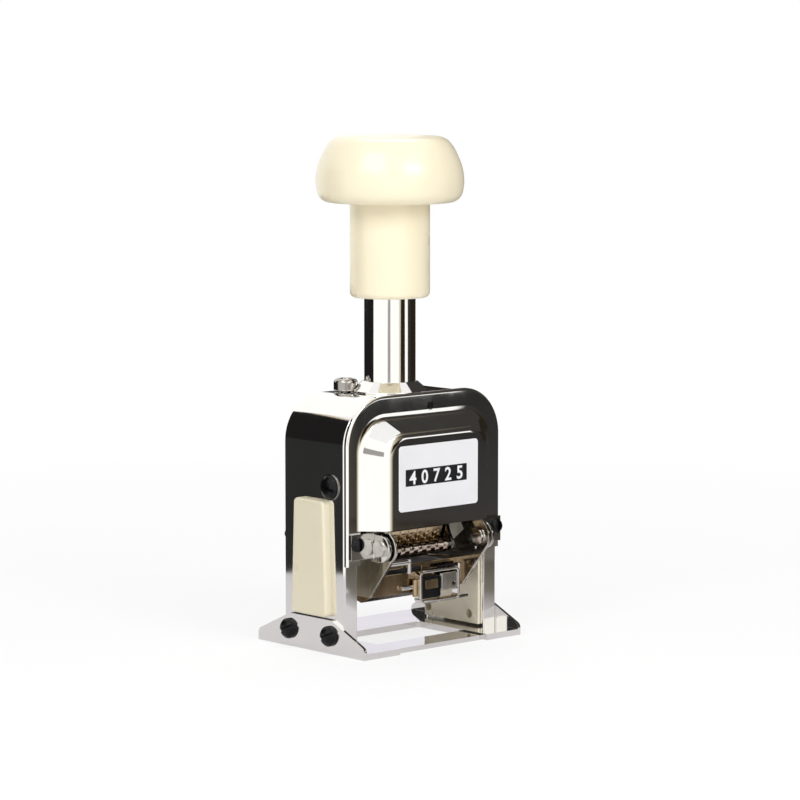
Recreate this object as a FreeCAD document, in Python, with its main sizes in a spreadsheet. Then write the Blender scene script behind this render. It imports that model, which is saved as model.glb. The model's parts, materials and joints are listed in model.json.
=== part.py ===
import FreeCAD, Part
import math
import os
import Sketcher

# Automatic numbering machine, a hand stamp that prints a row of digits and steps them on.
# Millimetres. +X is to the operator's right, the printed label faces -Y, +Z is up.
# The origin is in the middle of the base plate's underside.

# Driving sizes
SIZES = {
    # Outer frame, an inverted U of sheet with inward flanges
    "frame_width": 67.8,
    "frame_height": 82.4,
    "frame_front": 15.5,
    "frame_back": 13.8,
    "frame_sheet": 1.6,
    "frame_shoulder": 15.0,
    "frame_flange": 5.6,
    # Base plate and its two ears
    "base_depth": 52.8,
    "base_sheet": 2.0,
    "ear_sheet": 1.1,
    "ear_height": 11.0,
    "ear_end_height": 4.4,
    "ear_top_length": 20.0,
    "ear_round": 1.5,
    "ear_tip_round": 2.1,
    "ear_screw_pitch": 20.0,
    "ear_screw_shift": 0.6,
    "ear_screw_height": 5.8,
    "window_width": 39.0,
    "window_front": 13.8,
    "window_back": 7.0,
    "window_round": 1.5,
    "front_notch": 2.0,
    "front_step": 0.4,
    # Black slotted screws: head radius, head height, edge round
    "screw_slot_width": 1.0,
    "screw_slot_depth": 0.9,
    "ear_head_radius": 3.35,
    "ear_head_height": 2.6,
    "ear_head_round": 2.4,
    "ear_shank_radius": 1.5,
    "side_head_radius": 3.9,
    "side_head_height": 1.6,
    "side_head_round": 1.3,
    "side_shank_radius": 1.8,
    "side_screw_front": 8.7,
    "side_screw_gap": 0.2,
    "washer_radius": 4.3,
    "washer_sheet": 0.4,
    "cover_head_radius": 2.5,
    "cover_head_height": 2.0,
    "cover_head_round": 1.8,
    "back_head_radius": 1.7,
    "back_head_height": 1.5,
    "back_head_round": 1.3,
    "cover_shank_radius": 1.2,
    "cover_screw_inset": 3.0,
    "cover_screw_height": 36.3,
    # Side pads
    "pad_thickness": 2.6,
    "pad_bottom": 11.8,
    "pad_height": 38.0,
    "pad_bottom_width": 17.4,
    "pad_top_width": 14.9,
    "pad_forward": 0.6,
    "pad_round": 1.6,
    "pad_bevel": 0.9,
    # Pressed front cover and flat back cover
    "cover_sheet": 1.0,
    "cover_rim": 1.5,
    "cover_lip": 1.0,
    "cover_foot": 29.0,
    "dish_side": 28.6,
    "dish_top": 75.8,
    "dish_bottom": 40.3,
    "dish_depth": 6.7,
    "dish_round": 8.0,
    "face_side": 22.0,
    "face_top": 71.0,
    "face_round": 4.5,
    "catch_hole_radius": 1.4,
    "catch_hole_side": 2.4,
    "catch_hole_drop": 3.6,
    "label_width": 35.2,
    "label_height": 21.6,
    "label_middle": 56.7,
    "label_sheet": 0.5,
    "label_recess": 0.3,
    "label_gap": 0.05,
    "label_round": 1.2,
    "back_sheet": 1.2,
    "back_inset": 1.2,
    # Collar, bush and plunger
    "tube_radius": 8.5,
    "tube_wall": 1.5,
    "tube_top": 150.0,
    "running_gap": 0.05,
    "bush_radius": 10.0,
    "bush_length": 7.4,
    "bush_flange_radius": 12.0,
    "bush_flange_sheet": 1.5,
    "collar_radius": 12.6,
    "collar_height": 3.6,
    "collar_rim": 0.5,
    "collar_wall": 0.4,
    "collar_lock_gap": 0.3,
    "sleeve_radius": 13.2,
    "sleeve_bottom": 113.6,
    "sleeve_top": 144.8,
    "sleeve_round": 2.4,
    "knob_radius": 24.5,
    "knob_belly_round": 6.3,
    "knob_side_radius": 22.9,
    "knob_side_rise": 12.6,
    "knob_side_round": 9.0,
    "knob_rise": 21.9,
    "knob_top_radius": 20.6,
    "knob_top_round": 4.6,
    "cap_height": 3.0,
    # Spring bridge and main spring
    "bridge_gap": 0.6,
    "bridge_height": 4.0,
    "bridge_width": 5.0,
    "bridge_slot_gap": 0.2,
    "spring_radius": 5.4,
    "spring_wire": 1.2,
    "spring_pitch": 6.0,
    # Guide plates inside the legs and the shoes that run in them
    "guide_sheet": 1.2,
    "guide_seat": 0.1,
    "guide_lift": 0.8,
    "guide_over": 3.0,
    "spacer_wall": 1.4,
    "shoe_width": 7.6,
    "shoe_flange_width": 11.0,
    "shoe_flange": 1.4,
    "shoe_web": 1.8,
    "shoe_height": 6.0,
    "shoe_drop": 5.0,
    "shoe_back": 4.0,
    "shoe_gap": 0.15,
    # Carriage
    "stroke": 25.8,
    "stop_gap": 0.3,
    "yoke_rise": 14.9,
    "yoke_sheet": 1.4,
    "yoke_side": 18.4,
    "yoke_front": 13.5,
    "yoke_back": 11.5,
    "yoke_shaft_round": 5.0,
    "yoke_cheek_rise": 6.5,
    "foot_radius": 12.0,
    "foot_sheet": 2.0,
    "foot_screw_shank": 1.0,
    "foot_screw_head": 1.5,
    "foot_screw_head_height": 0.5,
    # Number wheels
    "wheel_axis": 37.5,
    "wheel_radius": 11.5,
    "wheel_pitch": 3.8,
    "wheel_gap": 0.2,
    "wheel_bore_gap": 0.03,
    "ratchet_step": 0.9,
    "ratchet_depth": 1.3,
    "shaft_radius": 3.0,
    "shaft_head_radius": 4.2,
    "shaft_head_sheet": 0.9,
    # Feed rocker with its pawls
    "rocker_gap": 0.7,
    "rocker_sheet": 1.2,
    "rocker_radius": 10.8,
    "rocker_rod_radius": 1.2,
    "rocker_rod_reach": 14.2,
    "rocker_eye": 2.4,
    "pawl_wall": 0.9,
    "pawl_width": 1.8,
    "pawl_tip_gap": 0.3,
    "pawl_tip": 0.8,
    "washer_gap": 0.2,
    "shaft_washer_radius": 6.0,
    # Detent comb behind the wheels
    "comb_sheet": 0.5,
    "comb_tab": 4.0,
    "comb_finger": 2.6,
    "comb_finger_rise": 2.5,
    "comb_root_rise": 11.0,
    # Ink arm
    "pivot_front": 21.0,
    "pivot_height": 34.5,
    "pivot_radius": 1.8,
    "pivot_head": 2.6,
    "pivot_head_sheet": 0.6,
    "pivot_gap": 0.05,
    "lug_gap": 1.0,
    "lug_sheet": 1.3,
    "lug_nose": 4.6,
    "lug_tab_bottom": 31.2,
    "lug_tab_top": 39.6,
    "lug_tab_margin": 0.5,
    "cheek_gap": 1.8,
    "cheek_sheet": 1.2,
    "cheek_nose": 5.2,
    "cheek_bottom": 17.2,
    "cheek_toe": 13.6,
    "cheek_heel": 5.2,
    "cheek_back_top": 25.4,
    "cheek_waist": 30.0,
    "arm_pin_reach": 10.8,
    "arm_pin_rise": 12.9,
    "arm_pin_radius": 1.5,
    "arm_pin_boss": 2.8,
    "arm_pin_travel": 6.0,
    "arm_pin_play": 0.95,
    "tray_sheet": 0.8,
    "tray_belly": 14.8,
    "tray_belly_front": 8.0,
    "tray_floor": 18.6,
    "tray_rim": 26.6,
    "tray_slot": 1.6,
    "tray_slot_top": 25.4,
    "ink_gap": 0.3,
    "ink_pad_front": 8.5,
    "ink_pad_gap": 0.1,
    "ink_pad_slope": 0.3,
    "clip_wire": 0.9,
    "clip_left": 1.6,
    "clip_right": 16.4,
    "clip_front": 16.6,
    "clip_bottom": 13.2,
    "clip_top": 24.2,
    # Selector on the back and lock knob on the top
    "dial_radius": 9.5,
    "dial_sheet": 0.6,
    "dial_height": 58.0,
    "dial_gap": 0.3,
    "pointer_hub": 3.2,
    "pointer_hub_height": 3.4,
    "pointer_length": 8.2,
    "pointer_width": 2.4,
    "pointer_sheet": 1.2,
    "pointer_pin": 1.4,
    "lock_side": 11.2,
    "lock_back": 9.4,
    "lock_radius": 4.0,
    "lock_height": 4.2,
    "lock_round": 1.8,
    "lock_dish_radius": 2.0,
    "lock_dish_depth": 0.8,
    "lock_gap": 0.3,
    "lock_post": 1.6,
    "lock_post_length": 4.5,
    "lock_post_gap": 0.05,
    # Cuts run this far past the faces that they break through
    "overrun": 1.0,
}

# Counts and angles
WHEEL_COUNT = 7
DIGIT_COUNT = 10
SIDES = (-1, 1)
ROCKER_REST_ANGLE = 205.0

doc = FreeCAD.newDocument("NumberingMachine")
sheet = doc.addObject("Spreadsheet::Sheet", "Sizes")
for row, (alias, value) in enumerate(SIZES.items(), start=1):
    sheet.set(f"A{row}", str(value))
    sheet.setAlias(f"A{row}", alias)
doc.recompute()


class Size:
    """A length with its value and the expression that binds it to the sheet."""

    def __init__(self, value, text):
        self.value = value
        self.text = text

    def __add__(self, other):
        other = as_size(other)
        return Size(self.value + other.value, f"({self.text} + {other.text})")

    def __sub__(self, other):
        other = as_size(other)
        return Size(self.value - other.value, f"({self.text} - {other.text})")

    def __mul__(self, share):
        return Size(self.value * share, f"({self.text} * {share})")

    def __truediv__(self, share):
        return Size(self.value / share, f"({self.text} / {share})")

    def __neg__(self):
        return Size(-self.value, f"(-{self.text})")

    __rmul__ = __mul__


def as_size(value):
    return value if isinstance(value, Size) else Size(value, str(value))


class Named:
    """Every driving size as an attribute."""

    def __init__(self, names):
        for name, value in names.items():
            setattr(self, name, Size(value, f"Sizes.{name}"))


s = Named(SIZES)
ZERO = as_size(0)


def bind(feature, name, size):
    feature.setExpression(name, as_size(size).text)


def place(feature, x=ZERO, y=ZERO, z=ZERO, turn=None):
    """Put a feature at a bound place, turned about the given (axis, degrees)."""
    if turn:
        axis, degrees = turn
        rotation = FreeCAD.Rotation(FreeCAD.Vector(*axis), degrees)
        feature.Placement = FreeCAD.Placement(FreeCAD.Vector(), rotation)
    bind(feature, "Placement.Base.x", x)
    bind(feature, "Placement.Base.y", y)
    bind(feature, "Placement.Base.z", z)
    return feature


# Sketches
def new_body(name):
    return doc.addObject("PartDesign::Body", name)


def new_sketch(body, plane, offset=ZERO):
    sketch = body.newObject("Sketcher::SketchObject", "Sketch")
    origin_plane = [item for item in body.Origin.OriginFeatures if item.Role == plane][0]
    sketch.AttachmentSupport = (origin_plane, [""])
    sketch.MapMode = "FlatFace"
    bind(sketch, "AttachmentOffset.Base.z", offset)
    return sketch


def pin_point(sketch, item, position, u, v):
    """Hold one point of a sketch at bound coordinates."""
    for kind, size in (("DistanceX", u), ("DistanceY", v)):
        index = sketch.addConstraint(Sketcher.Constraint(kind, -1, 1, item, position, as_size(size).value))
        bind(sketch, f"Constraints[{index}]", size)


def draw_circle(sketch, u, v, radius):
    centre = FreeCAD.Vector(as_size(u).value, as_size(v).value, 0)
    circle = sketch.addGeometry(Part.Circle(centre, FreeCAD.Vector(0, 0, 1), radius.value), False)
    pin_point(sketch, circle, 3, u, v)
    index = sketch.addConstraint(Sketcher.Constraint("Radius", circle, radius.value))
    bind(sketch, f"Constraints[{index}]", radius)


def outward_normal(here, there):
    """Outward unit normal of the line that touches two rounds, both (u, v, radius)."""
    along_u, along_v = there[0] - here[0], there[1] - here[1]
    length = math.hypot(along_u, along_v)
    along_u, along_v = along_u / length, along_v / length
    lean = (here[2] - there[2]) / length
    across = math.sqrt(1 - lean * lean)
    return (along_u * lean + along_v * across, along_v * lean - along_u * across)


def draw_outline(sketch, rounds):
    """Closed outline, anticlockwise, round circles given as (u, v, radius); radius None is a sharp corner."""
    spots = [(as_size(u).value, as_size(v).value, radius.value if radius else 0.0) for u, v, radius in rounds]
    count = len(spots)
    normals = [outward_normal(spots[i], spots[(i + 1) % count]) for i in range(count)]
    lines = []
    for i, normal in enumerate(normals):
        ends = [FreeCAD.Vector(spot[0] + spot[2] * normal[0], spot[1] + spot[2] * normal[1], 0)
                for spot in (spots[i], spots[(i + 1) % count])]
        lines.append(sketch.addGeometry(Part.LineSegment(*ends), False))
    for i, (u, v, radius) in enumerate(rounds):
        before, after = lines[i - 1], lines[i]
        if radius is None:
            sketch.addConstraint(Sketcher.Constraint("Coincident", before, 2, after, 1))
            pin_point(sketch, after, 1, u, v)
            continue
        start = math.atan2(normals[i - 1][1], normals[i - 1][0])
        end = math.atan2(normals[i][1], normals[i][0])
        if end < start:
            end += 2 * math.pi
        centre = FreeCAD.Vector(spots[i][0], spots[i][1], 0)
        circle = Part.Circle(centre, FreeCAD.Vector(0, 0, 1), radius.value)
        arc = sketch.addGeometry(Part.ArcOfCircle(circle, start, end), False)
        sketch.addConstraint(Sketcher.Constraint("Tangent", before, 2, arc, 1))
        sketch.addConstraint(Sketcher.Constraint("Tangent", arc, 2, after, 1))
        pin_point(sketch, arc, 3, u, v)
        index = sketch.addConstraint(Sketcher.Constraint("Radius", arc, radius.value))
        bind(sketch, f"Constraints[{index}]", radius)


def outlined(body, plane, rounds, offset=ZERO):
    sketch = new_sketch(body, plane, offset)
    draw_outline(sketch, rounds)
    return sketch


def holes_at(body, plane, spots, radius, offset=ZERO):
    sketch = new_sketch(body, plane, offset)
    for u, v in spots:
        draw_circle(sketch, u, v, radius)
    return sketch


def block(u_low, u_high, v_low, v_high):
    """Corners of a plain rectangle."""
    return [(u_low, v_low, None), (u_high, v_low, None), (u_high, v_high, None), (u_low, v_high, None)]


def rounded_block(u_low, u_high, v_low, v_high, radius):
    """A rectangle with its four corners rounded."""
    return [(u_low + radius, v_low + radius, radius), (u_high - radius, v_low + radius, radius),
            (u_high - radius, v_high - radius, radius), (u_low + radius, v_high - radius, radius)]


def arch(half_width, foot, top, radius):
    """An inverted U: square at the foot, rounded at the shoulders."""
    return [(-half_width, foot, None), (half_width, foot, None),
            (half_width - radius, top - radius, radius), (radius - half_width, top - radius, radius)]


# Features
def pad(body, sketch, length, reverse=False):
    feature = body.newObject("PartDesign::Pad", "Pad")
    feature.Profile = sketch
    feature.Reversed = reverse
    bind(feature, "Length", length)
    return feature


def pocket(body, sketch, depth=None, reverse=False):
    """Cut to a depth, or both ways right through when no depth is given."""
    feature = body.newObject("PartDesign::Pocket", "Pocket")
    feature.Profile = sketch
    if depth is None:
        feature.Type = "ThroughAll"
        feature.SideType = "Symmetric"
        return feature
    feature.Reversed = reverse
    bind(feature, "Length", depth)
    return feature


def revolve(body, sketch, axis="V_Axis"):
    feature = body.newObject("PartDesign::Revolution", "Revolution")
    feature.Profile = sketch
    feature.ReferenceAxis = (sketch, [axis])
    feature.Angle = 360
    return feature


def loft(body, near, far, kind="PartDesign::AdditiveLoft"):
    feature = body.newObject(kind, "Loft")
    feature.Profile = near
    feature.Sections = [far]
    feature.Ruled = True
    return feature


def fillet(body, radius, wanted):
    """Round the edges of the body's last feature that the test picks out."""
    doc.recompute()
    base = body.Tip
    names = [f"Edge{i}" for i, edge in enumerate(base.Shape.Edges, start=1) if wanted(edge)]
    if not names:
        raise RuntimeError(f"{body.Label}: no edge to round")
    feature = body.newObject("PartDesign::Fillet", "Fillet")
    feature.Base = (base, names)
    bind(feature, "Radius", radius)
    return feature


def near(value, size):
    return abs(value - as_size(size).value) < Part.Precision.confusion() * 10


def flat_at(edge, axis, size):
    """True for an edge that lies wholly at one coordinate."""
    box = edge.BoundBox
    low, high = getattr(box, axis + "Min"), getattr(box, axis + "Max")
    return near(low, size) and near(high, size)


# Part primitives
AXIS_TURNS = {"x": ((0, 1, 0), 90), "y": ((1, 0, 0), -90), "z": None}


def box(name, low, lengths):
    feature = doc.addObject("Part::Box", name)
    for side, length in zip(("Length", "Width", "Height"), lengths):
        bind(feature, side, length)
    return place(feature, *low)


def rod(name, axis, start, radius, length):
    """A cylinder from its start point along +axis."""
    feature = doc.addObject("Part::Cylinder", name)
    bind(feature, "Radius", radius)
    bind(feature, "Height", length)
    return place(feature, *start, turn=AXIS_TURNS[axis])


def cut(name, base, tool):
    feature = doc.addObject("Part::Cut", name)
    feature.Base = base
    feature.Tool = tool
    return feature


def fuse(name, pieces):
    feature = doc.addObject("Part::MultiFuse", name)
    feature.Shapes = pieces
    return feature


def group(name, pieces):
    """Separate solids that share one node."""
    feature = doc.addObject("Part::Compound", name)
    feature.Links = pieces
    return feature


def tube(name, axis, start, outer, inner, length):
    """A straight bush or spacer."""
    body = rod(name + "_outer", axis, start, outer, length)
    return cut(name, body, rod(name + "_bore", axis, start, inner, length))


nodes = {}


def keep(name, feature):
    """Name a finished sub-part."""
    feature.Label = name
    nodes[name] = feature
    return feature


def side_name(side):
    return "left" if side < 0 else "right"


def plate_offset(side, inside, sheet):
    """Low face of a plate that stands square to X, on the given side."""
    return inside if side > 0 else -(inside + sheet)


# Sizes that several pieces share
half_frame = s.frame_width / 2
half_base = half_frame + s.ear_sheet
half_depth = s.base_depth / 2
frame_depth = s.frame_front + s.frame_back
wall_inside = half_frame - s.frame_sheet
flange_inside = half_frame - s.frame_flange
cover_face = s.frame_front + s.cover_rim
dish_face = cover_face + s.dish_depth
ear_screws = [(s.ear_screw_shift - s.ear_screw_pitch / 2, s.ear_screw_height),
              (s.ear_screw_shift + s.ear_screw_pitch / 2, s.ear_screw_height)]
pad_top = s.pad_bottom + s.pad_height
side_screw = (-s.side_screw_front, pad_top + s.washer_radius + s.side_screw_gap)
cover_screws = [((half_frame - s.cover_screw_inset) * side, s.cover_screw_height) for side in SIDES]
guide_reach = flange_inside + s.guide_seat
guide_inside = guide_reach - s.guide_sheet
wheel_bank = s.wheel_pitch * WHEEL_COUNT
rocker_inside = wheel_bank / 2 + s.rocker_gap
yoke_inside = s.yoke_side - s.yoke_sheet
yoke_top = s.wheel_axis + s.yoke_rise
shoe_bottom = yoke_top - s.shoe_drop
foot_screw_side = (s.tube_radius + s.foot_radius) / 2
cheek_inside = s.yoke_side + s.cheek_gap
cheek_outside = cheek_inside + s.cheek_sheet
lug_inside = cheek_outside + s.lug_gap
lug_outside = lug_inside + s.lug_sheet
arm_pin = (s.arm_pin_reach - s.pivot_front, s.pivot_height + s.arm_pin_rise)
arm_pin_inside = yoke_inside - s.stop_gap
bridge_bottom = yoke_top + s.foot_sheet + s.bridge_gap
bridge_top = bridge_bottom + s.bridge_height
tube_bore = s.tube_radius - s.tube_wall


def screw_body(name, head_radius, head_height, head_round, shank_radius, shank_length):
    """A slotted screw along +Z, with its head's underside at zero."""
    body = new_body(name)
    profile = [(ZERO, -shank_length, None), (shank_radius, -shank_length, None), (shank_radius, ZERO, None),
               (head_radius, ZERO, None), (head_radius - head_round, head_height - head_round, head_round),
               (ZERO, head_height, None)]
    revolve(body, outlined(body, "XZ_Plane", profile))
    slot = block(-s.screw_slot_width / 2, s.screw_slot_width / 2,
                 head_height - s.screw_slot_depth, head_height + s.overrun)
    pocket(body, outlined(body, "XZ_Plane", slot))
    return body


def sideways(side):
    """Turn that points local +Z out of one side of the machine."""
    return ((0, 1, 0), 90 * side)


# Outer frame and base
def make_outer_frame():
    body = new_body("outer_frame")
    pad(body, outlined(body, "XZ_Plane", arch(half_frame, s.base_sheet, s.frame_height, s.frame_shoulder),
                       -s.frame_back), frame_depth)
    pocket(body, outlined(body, "XZ_Plane", arch(flange_inside, s.base_sheet - s.overrun,
                                                 s.frame_height - s.frame_flange,
                                                 s.frame_shoulder - s.frame_flange)))
    cavity = arch(wall_inside, s.base_sheet - s.overrun, s.frame_height - s.frame_sheet,
                  s.frame_shoulder - s.frame_sheet)
    pocket(body, outlined(body, "XZ_Plane", cavity, s.frame_sheet - s.frame_back),
           frame_depth - s.frame_sheet * 2, reverse=True)
    pocket(body, holes_at(body, "YZ_Plane", ear_screws, s.ear_shank_radius))
    pocket(body, holes_at(body, "YZ_Plane", [side_screw], s.side_shank_radius))
    pocket(body, holes_at(body, "XZ_Plane", cover_screws, s.cover_shank_radius))
    pocket(body, holes_at(body, "XY_Plane", [(ZERO, ZERO)], s.bush_radius))
    pocket(body, holes_at(body, "XY_Plane", [(-s.lock_side, s.lock_back)], s.lock_post + s.lock_post_gap))
    keep("outer_frame", body)


def make_base_plate():
    body = new_body("base_plate")
    pad(body, outlined(body, "XY_Plane", block(-half_base, half_base, -half_depth, half_depth)), s.base_sheet)
    half_top = s.ear_top_length / 2
    tip = half_depth - s.ear_tip_round
    ear = [(-half_depth, ZERO, None), (half_depth, ZERO, None),
           (tip, s.ear_end_height - s.ear_tip_round, s.ear_tip_round),
           (half_top, s.ear_height - s.ear_round, s.ear_round),
           (-half_top, s.ear_height - s.ear_round, s.ear_round),
           (-tip, s.ear_end_height - s.ear_tip_round, s.ear_tip_round)]
    for side in SIDES:
        pad(body, outlined(body, "YZ_Plane", ear, plate_offset(side, half_frame, s.ear_sheet)), s.ear_sheet)
    half_window = s.window_width / 2
    window = rounded_block(-half_window, half_window, -s.window_front, s.window_back, s.window_round)
    pocket(body, outlined(body, "XY_Plane", window))
    notch = block(-half_window, half_window, -half_depth - s.overrun, s.front_notch - half_depth)
    pocket(body, outlined(body, "XY_Plane", notch))
    step = block(-half_window, half_window, -half_depth - s.overrun, -s.window_front + s.overrun)
    pocket(body, outlined(body, "XY_Plane", step, s.base_sheet), s.front_step)
    pocket(body, holes_at(body, "YZ_Plane", ear_screws, s.ear_shank_radius))
    keep("base_plate", body)


def make_side_screws():
    ear_set, side_set, washers = [], [], []
    for side in SIDES:
        for u, v in ear_screws:
            screw = screw_body("ear_screw", s.ear_head_radius, s.ear_head_height, s.ear_head_round,
                               s.ear_shank_radius, half_base - guide_inside)
            ear_set.append(place(screw, half_base * side, u, v, turn=sideways(side)))
        screw = screw_body("side_screw", s.side_head_radius, s.side_head_height, s.side_head_round,
                           s.side_shank_radius, half_frame + s.washer_sheet - guide_inside)
        side_set.append(place(screw, (half_frame + s.washer_sheet) * side, *side_screw, turn=sideways(side)))
        washers.append(tube("washer", "x", (plate_offset(side, half_frame, s.washer_sheet), *side_screw),
                            s.washer_radius, s.side_shank_radius, s.washer_sheet))
    keep("base_screws", group("base_screws", ear_set))
    keep("side_screws", group("side_screws", side_set))
    keep("side_washers", group("side_washers", washers))


def make_side_pads():
    foot = s.pad_bottom_width / 2 - s.pad_round
    head = s.pad_top_width / 2 - s.pad_round
    outline = [(-s.pad_forward - foot, s.pad_bottom + s.pad_round, s.pad_round),
               (foot - s.pad_forward, s.pad_bottom + s.pad_round, s.pad_round),
               (head - s.pad_forward, pad_top - s.pad_round, s.pad_round),
               (-s.pad_forward - head, pad_top - s.pad_round, s.pad_round)]
    for side in SIDES:
        body = new_body(f"side_pad_{side_name(side)}")
        pad(body, outlined(body, "YZ_Plane", outline, plate_offset(side, half_frame, s.pad_thickness)),
            s.pad_thickness)
        outer_face = (half_frame + s.pad_thickness) * side
        fillet(body, s.pad_bevel, lambda edge: flat_at(edge, "X", outer_face))
        keep(f"side_pad_{side_name(side)}", body)


# Guide plates and their spacers inside the legs
def make_guides():
    front = s.frame_sheet - s.frame_front
    back = s.frame_back - s.frame_sheet
    slot_half = s.shoe_width / 2 + s.shoe_gap
    slot_low = shoe_bottom - s.stroke - s.stop_gap
    slot_high = shoe_bottom + s.shoe_height + s.stop_gap
    for side in SIDES:
        body = new_body(f"guide_plate_{side_name(side)}")
        outline = block(front, back, s.base_sheet + s.guide_lift, bridge_top + s.guide_over)
        offset = plate_offset(side, guide_inside, s.guide_sheet)
        pad(body, outlined(body, "YZ_Plane", outline, offset), s.guide_sheet)
        pocket(body, outlined(body, "YZ_Plane", block(s.shoe_back - slot_half, s.shoe_back + slot_half,
                                                      slot_low, slot_high)))
        pocket(body, outlined(body, "YZ_Plane", block(-s.bridge_width / 2, s.bridge_width / 2,
                                                      bridge_bottom, bridge_top)))
        pocket(body, holes_at(body, "YZ_Plane", ear_screws, s.ear_shank_radius))
        pocket(body, holes_at(body, "YZ_Plane", [side_screw], s.side_shank_radius))
        keep(f"guide_plate_{side_name(side)}", body)
    spacers = []
    length = wall_inside - guide_reach
    bar_half = s.ear_shank_radius + s.spacer_wall
    bar = block(ear_screws[0][0] - bar_half, back,
                s.ear_screw_height - bar_half, s.ear_screw_height + bar_half)
    for side in SIDES:
        low = plate_offset(side, guide_reach, length)
        body = new_body("spacer_bar")
        pad(body, outlined(body, "YZ_Plane", bar, low), length)
        pocket(body, holes_at(body, "YZ_Plane", ear_screws, s.ear_shank_radius))
        spacers.append(body)
        spacers.append(tube("spacer", "x", (low, *side_screw), s.side_shank_radius + s.spacer_wall,
                            s.side_shank_radius, length))
    keep("guide_spacers", group("guide_spacers", spacers))


# Covers
def make_front_cover():
    body = new_body("front_cover")
    lip = s.frame_height + s.cover_lip
    rim = arch(half_frame, s.cover_foot, lip, s.frame_shoulder + s.cover_lip)
    pad(body, outlined(body, "XZ_Plane", rim, s.frame_front), s.cover_rim)
    opening = block(-flange_inside, flange_inside, s.cover_foot - s.overrun, s.dish_bottom)
    pocket(body, outlined(body, "XZ_Plane", opening))
    dish = arch(s.dish_side, s.dish_bottom, s.dish_top, s.dish_round)
    face = arch(s.face_side, s.dish_bottom, s.face_top, s.face_round)
    loft(body, outlined(body, "XZ_Plane", dish, cover_face), outlined(body, "XZ_Plane", face, dish_face))
    fillet(body, s.face_round / 2, lambda edge: flat_at(edge, "Y", -dish_face)
           and edge.BoundBox.ZMax > s.dish_bottom.value + s.overrun.value)
    inner_low = s.dish_bottom - s.overrun
    wall = s.cover_sheet
    dish = arch(s.dish_side - wall, inner_low, s.dish_top - wall, s.dish_round - wall)
    face = arch(s.face_side - wall, inner_low, s.face_top - wall, s.face_round - wall)
    loft(body, outlined(body, "XZ_Plane", dish, s.frame_front - s.overrun),
         outlined(body, "XZ_Plane", face, dish_face - wall), "PartDesign::SubtractiveLoft")
    half_label = s.label_width / 2
    recess = rounded_block(-half_label, half_label, s.label_middle - s.label_height / 2,
                           s.label_middle + s.label_height / 2, s.label_round)
    pocket(body, outlined(body, "XZ_Plane", recess, dish_face), s.label_recess)
    pocket(body, holes_at(body, "XZ_Plane", cover_screws, s.cover_shank_radius))
    catch_hole = (s.catch_hole_side, s.frame_height - s.catch_hole_drop)
    pocket(body, holes_at(body, "XZ_Plane", [catch_hole], s.catch_hole_radius))
    keep("front_cover", body)


def make_label():
    body = new_body("label_plate")
    half_label = s.label_width / 2 - s.label_gap
    half_height = s.label_height / 2 - s.label_gap
    outline = rounded_block(-half_label, half_label,
                            s.label_middle - half_height, s.label_middle + half_height, s.label_round)
    pad(body, outlined(body, "XZ_Plane", outline, dish_face - s.label_recess), s.label_sheet)
    keep("label_plate", body)


def make_back_cover():
    body = new_body("back_cover")
    rim = arch(half_frame - s.back_inset, s.cover_foot, s.frame_height - s.back_inset,
               s.frame_shoulder - s.back_inset)
    pad(body, outlined(body, "XZ_Plane", rim, -s.frame_back), s.back_sheet, reverse=True)
    opening = block(-flange_inside, flange_inside, s.cover_foot - s.overrun, s.dish_bottom)
    pocket(body, outlined(body, "XZ_Plane", opening))
    pocket(body, holes_at(body, "XZ_Plane", cover_screws, s.cover_shank_radius))
    pocket(body, holes_at(body, "XZ_Plane", [(ZERO, s.dial_height)], s.pointer_pin + s.running_gap))
    keep("back_cover", body)


def make_cover_screws():
    front, back = [], []
    head_front = cover_face + s.lug_sheet
    head_back = s.frame_back + s.back_sheet
    for u, v in cover_screws:
        screw = screw_body("cover_screw", s.cover_head_radius, s.cover_head_height, s.cover_head_round,
                           s.cover_shank_radius, head_front - s.frame_front + s.frame_sheet)
        front.append(place(screw, u, -head_front, v, turn=((1, 0, 0), 90)))
        screw = screw_body("cover_screw", s.back_head_radius, s.back_head_height, s.back_head_round,
                           s.cover_shank_radius, head_back - s.frame_back + s.frame_sheet)
        back.append(place(screw, u, head_back, v, turn=((1, 0, 0), -90)))
    keep("front_cover_screws", group("front_cover_screws", front))
    keep("back_cover_screws", group("back_cover_screws", back))


# Collar, bush, bridge and main spring
def make_collar():
    body = new_body("top_collar")
    bore = s.tube_radius + s.running_gap * 2
    top = s.frame_height + s.collar_height
    profile = [(bore, s.frame_height, None), (s.collar_radius, s.frame_height, None),
               (s.collar_radius, s.frame_height + s.collar_rim, None),
               (bore + s.collar_wall, top, None), (bore, top, None)]
    revolve(body, outlined(body, "XZ_Plane", profile))
    # The flare is cut away round the lock knob
    pocket(body, holes_at(body, "XY_Plane", [(-s.lock_side, s.lock_back)], s.lock_radius + s.collar_lock_gap))
    keep("top_collar", body)


def make_guide_bush():
    body = new_body("guide_bush")
    bore = s.tube_radius + s.running_gap
    ceiling = s.frame_height - s.frame_sheet
    bottom = s.frame_height - s.bush_length
    profile = [(bore, bottom, None), (s.bush_radius, bottom, None),
               (s.bush_radius, ceiling - s.bush_flange_sheet, None),
               (s.bush_flange_radius, ceiling - s.bush_flange_sheet, None),
               (s.bush_flange_radius, ceiling, None), (s.bush_radius, ceiling, None),
               (s.bush_radius, s.frame_height, None), (bore, s.frame_height, None)]
    revolve(body, outlined(body, "XZ_Plane", profile))
    keep("guide_bush", body)


def make_bridge():
    reach = guide_reach
    keep("spring_bridge", box("spring_bridge", (-reach, -s.bridge_width / 2, bridge_bottom),
                              (reach * 2, s.bridge_width, s.bridge_height)))


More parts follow.
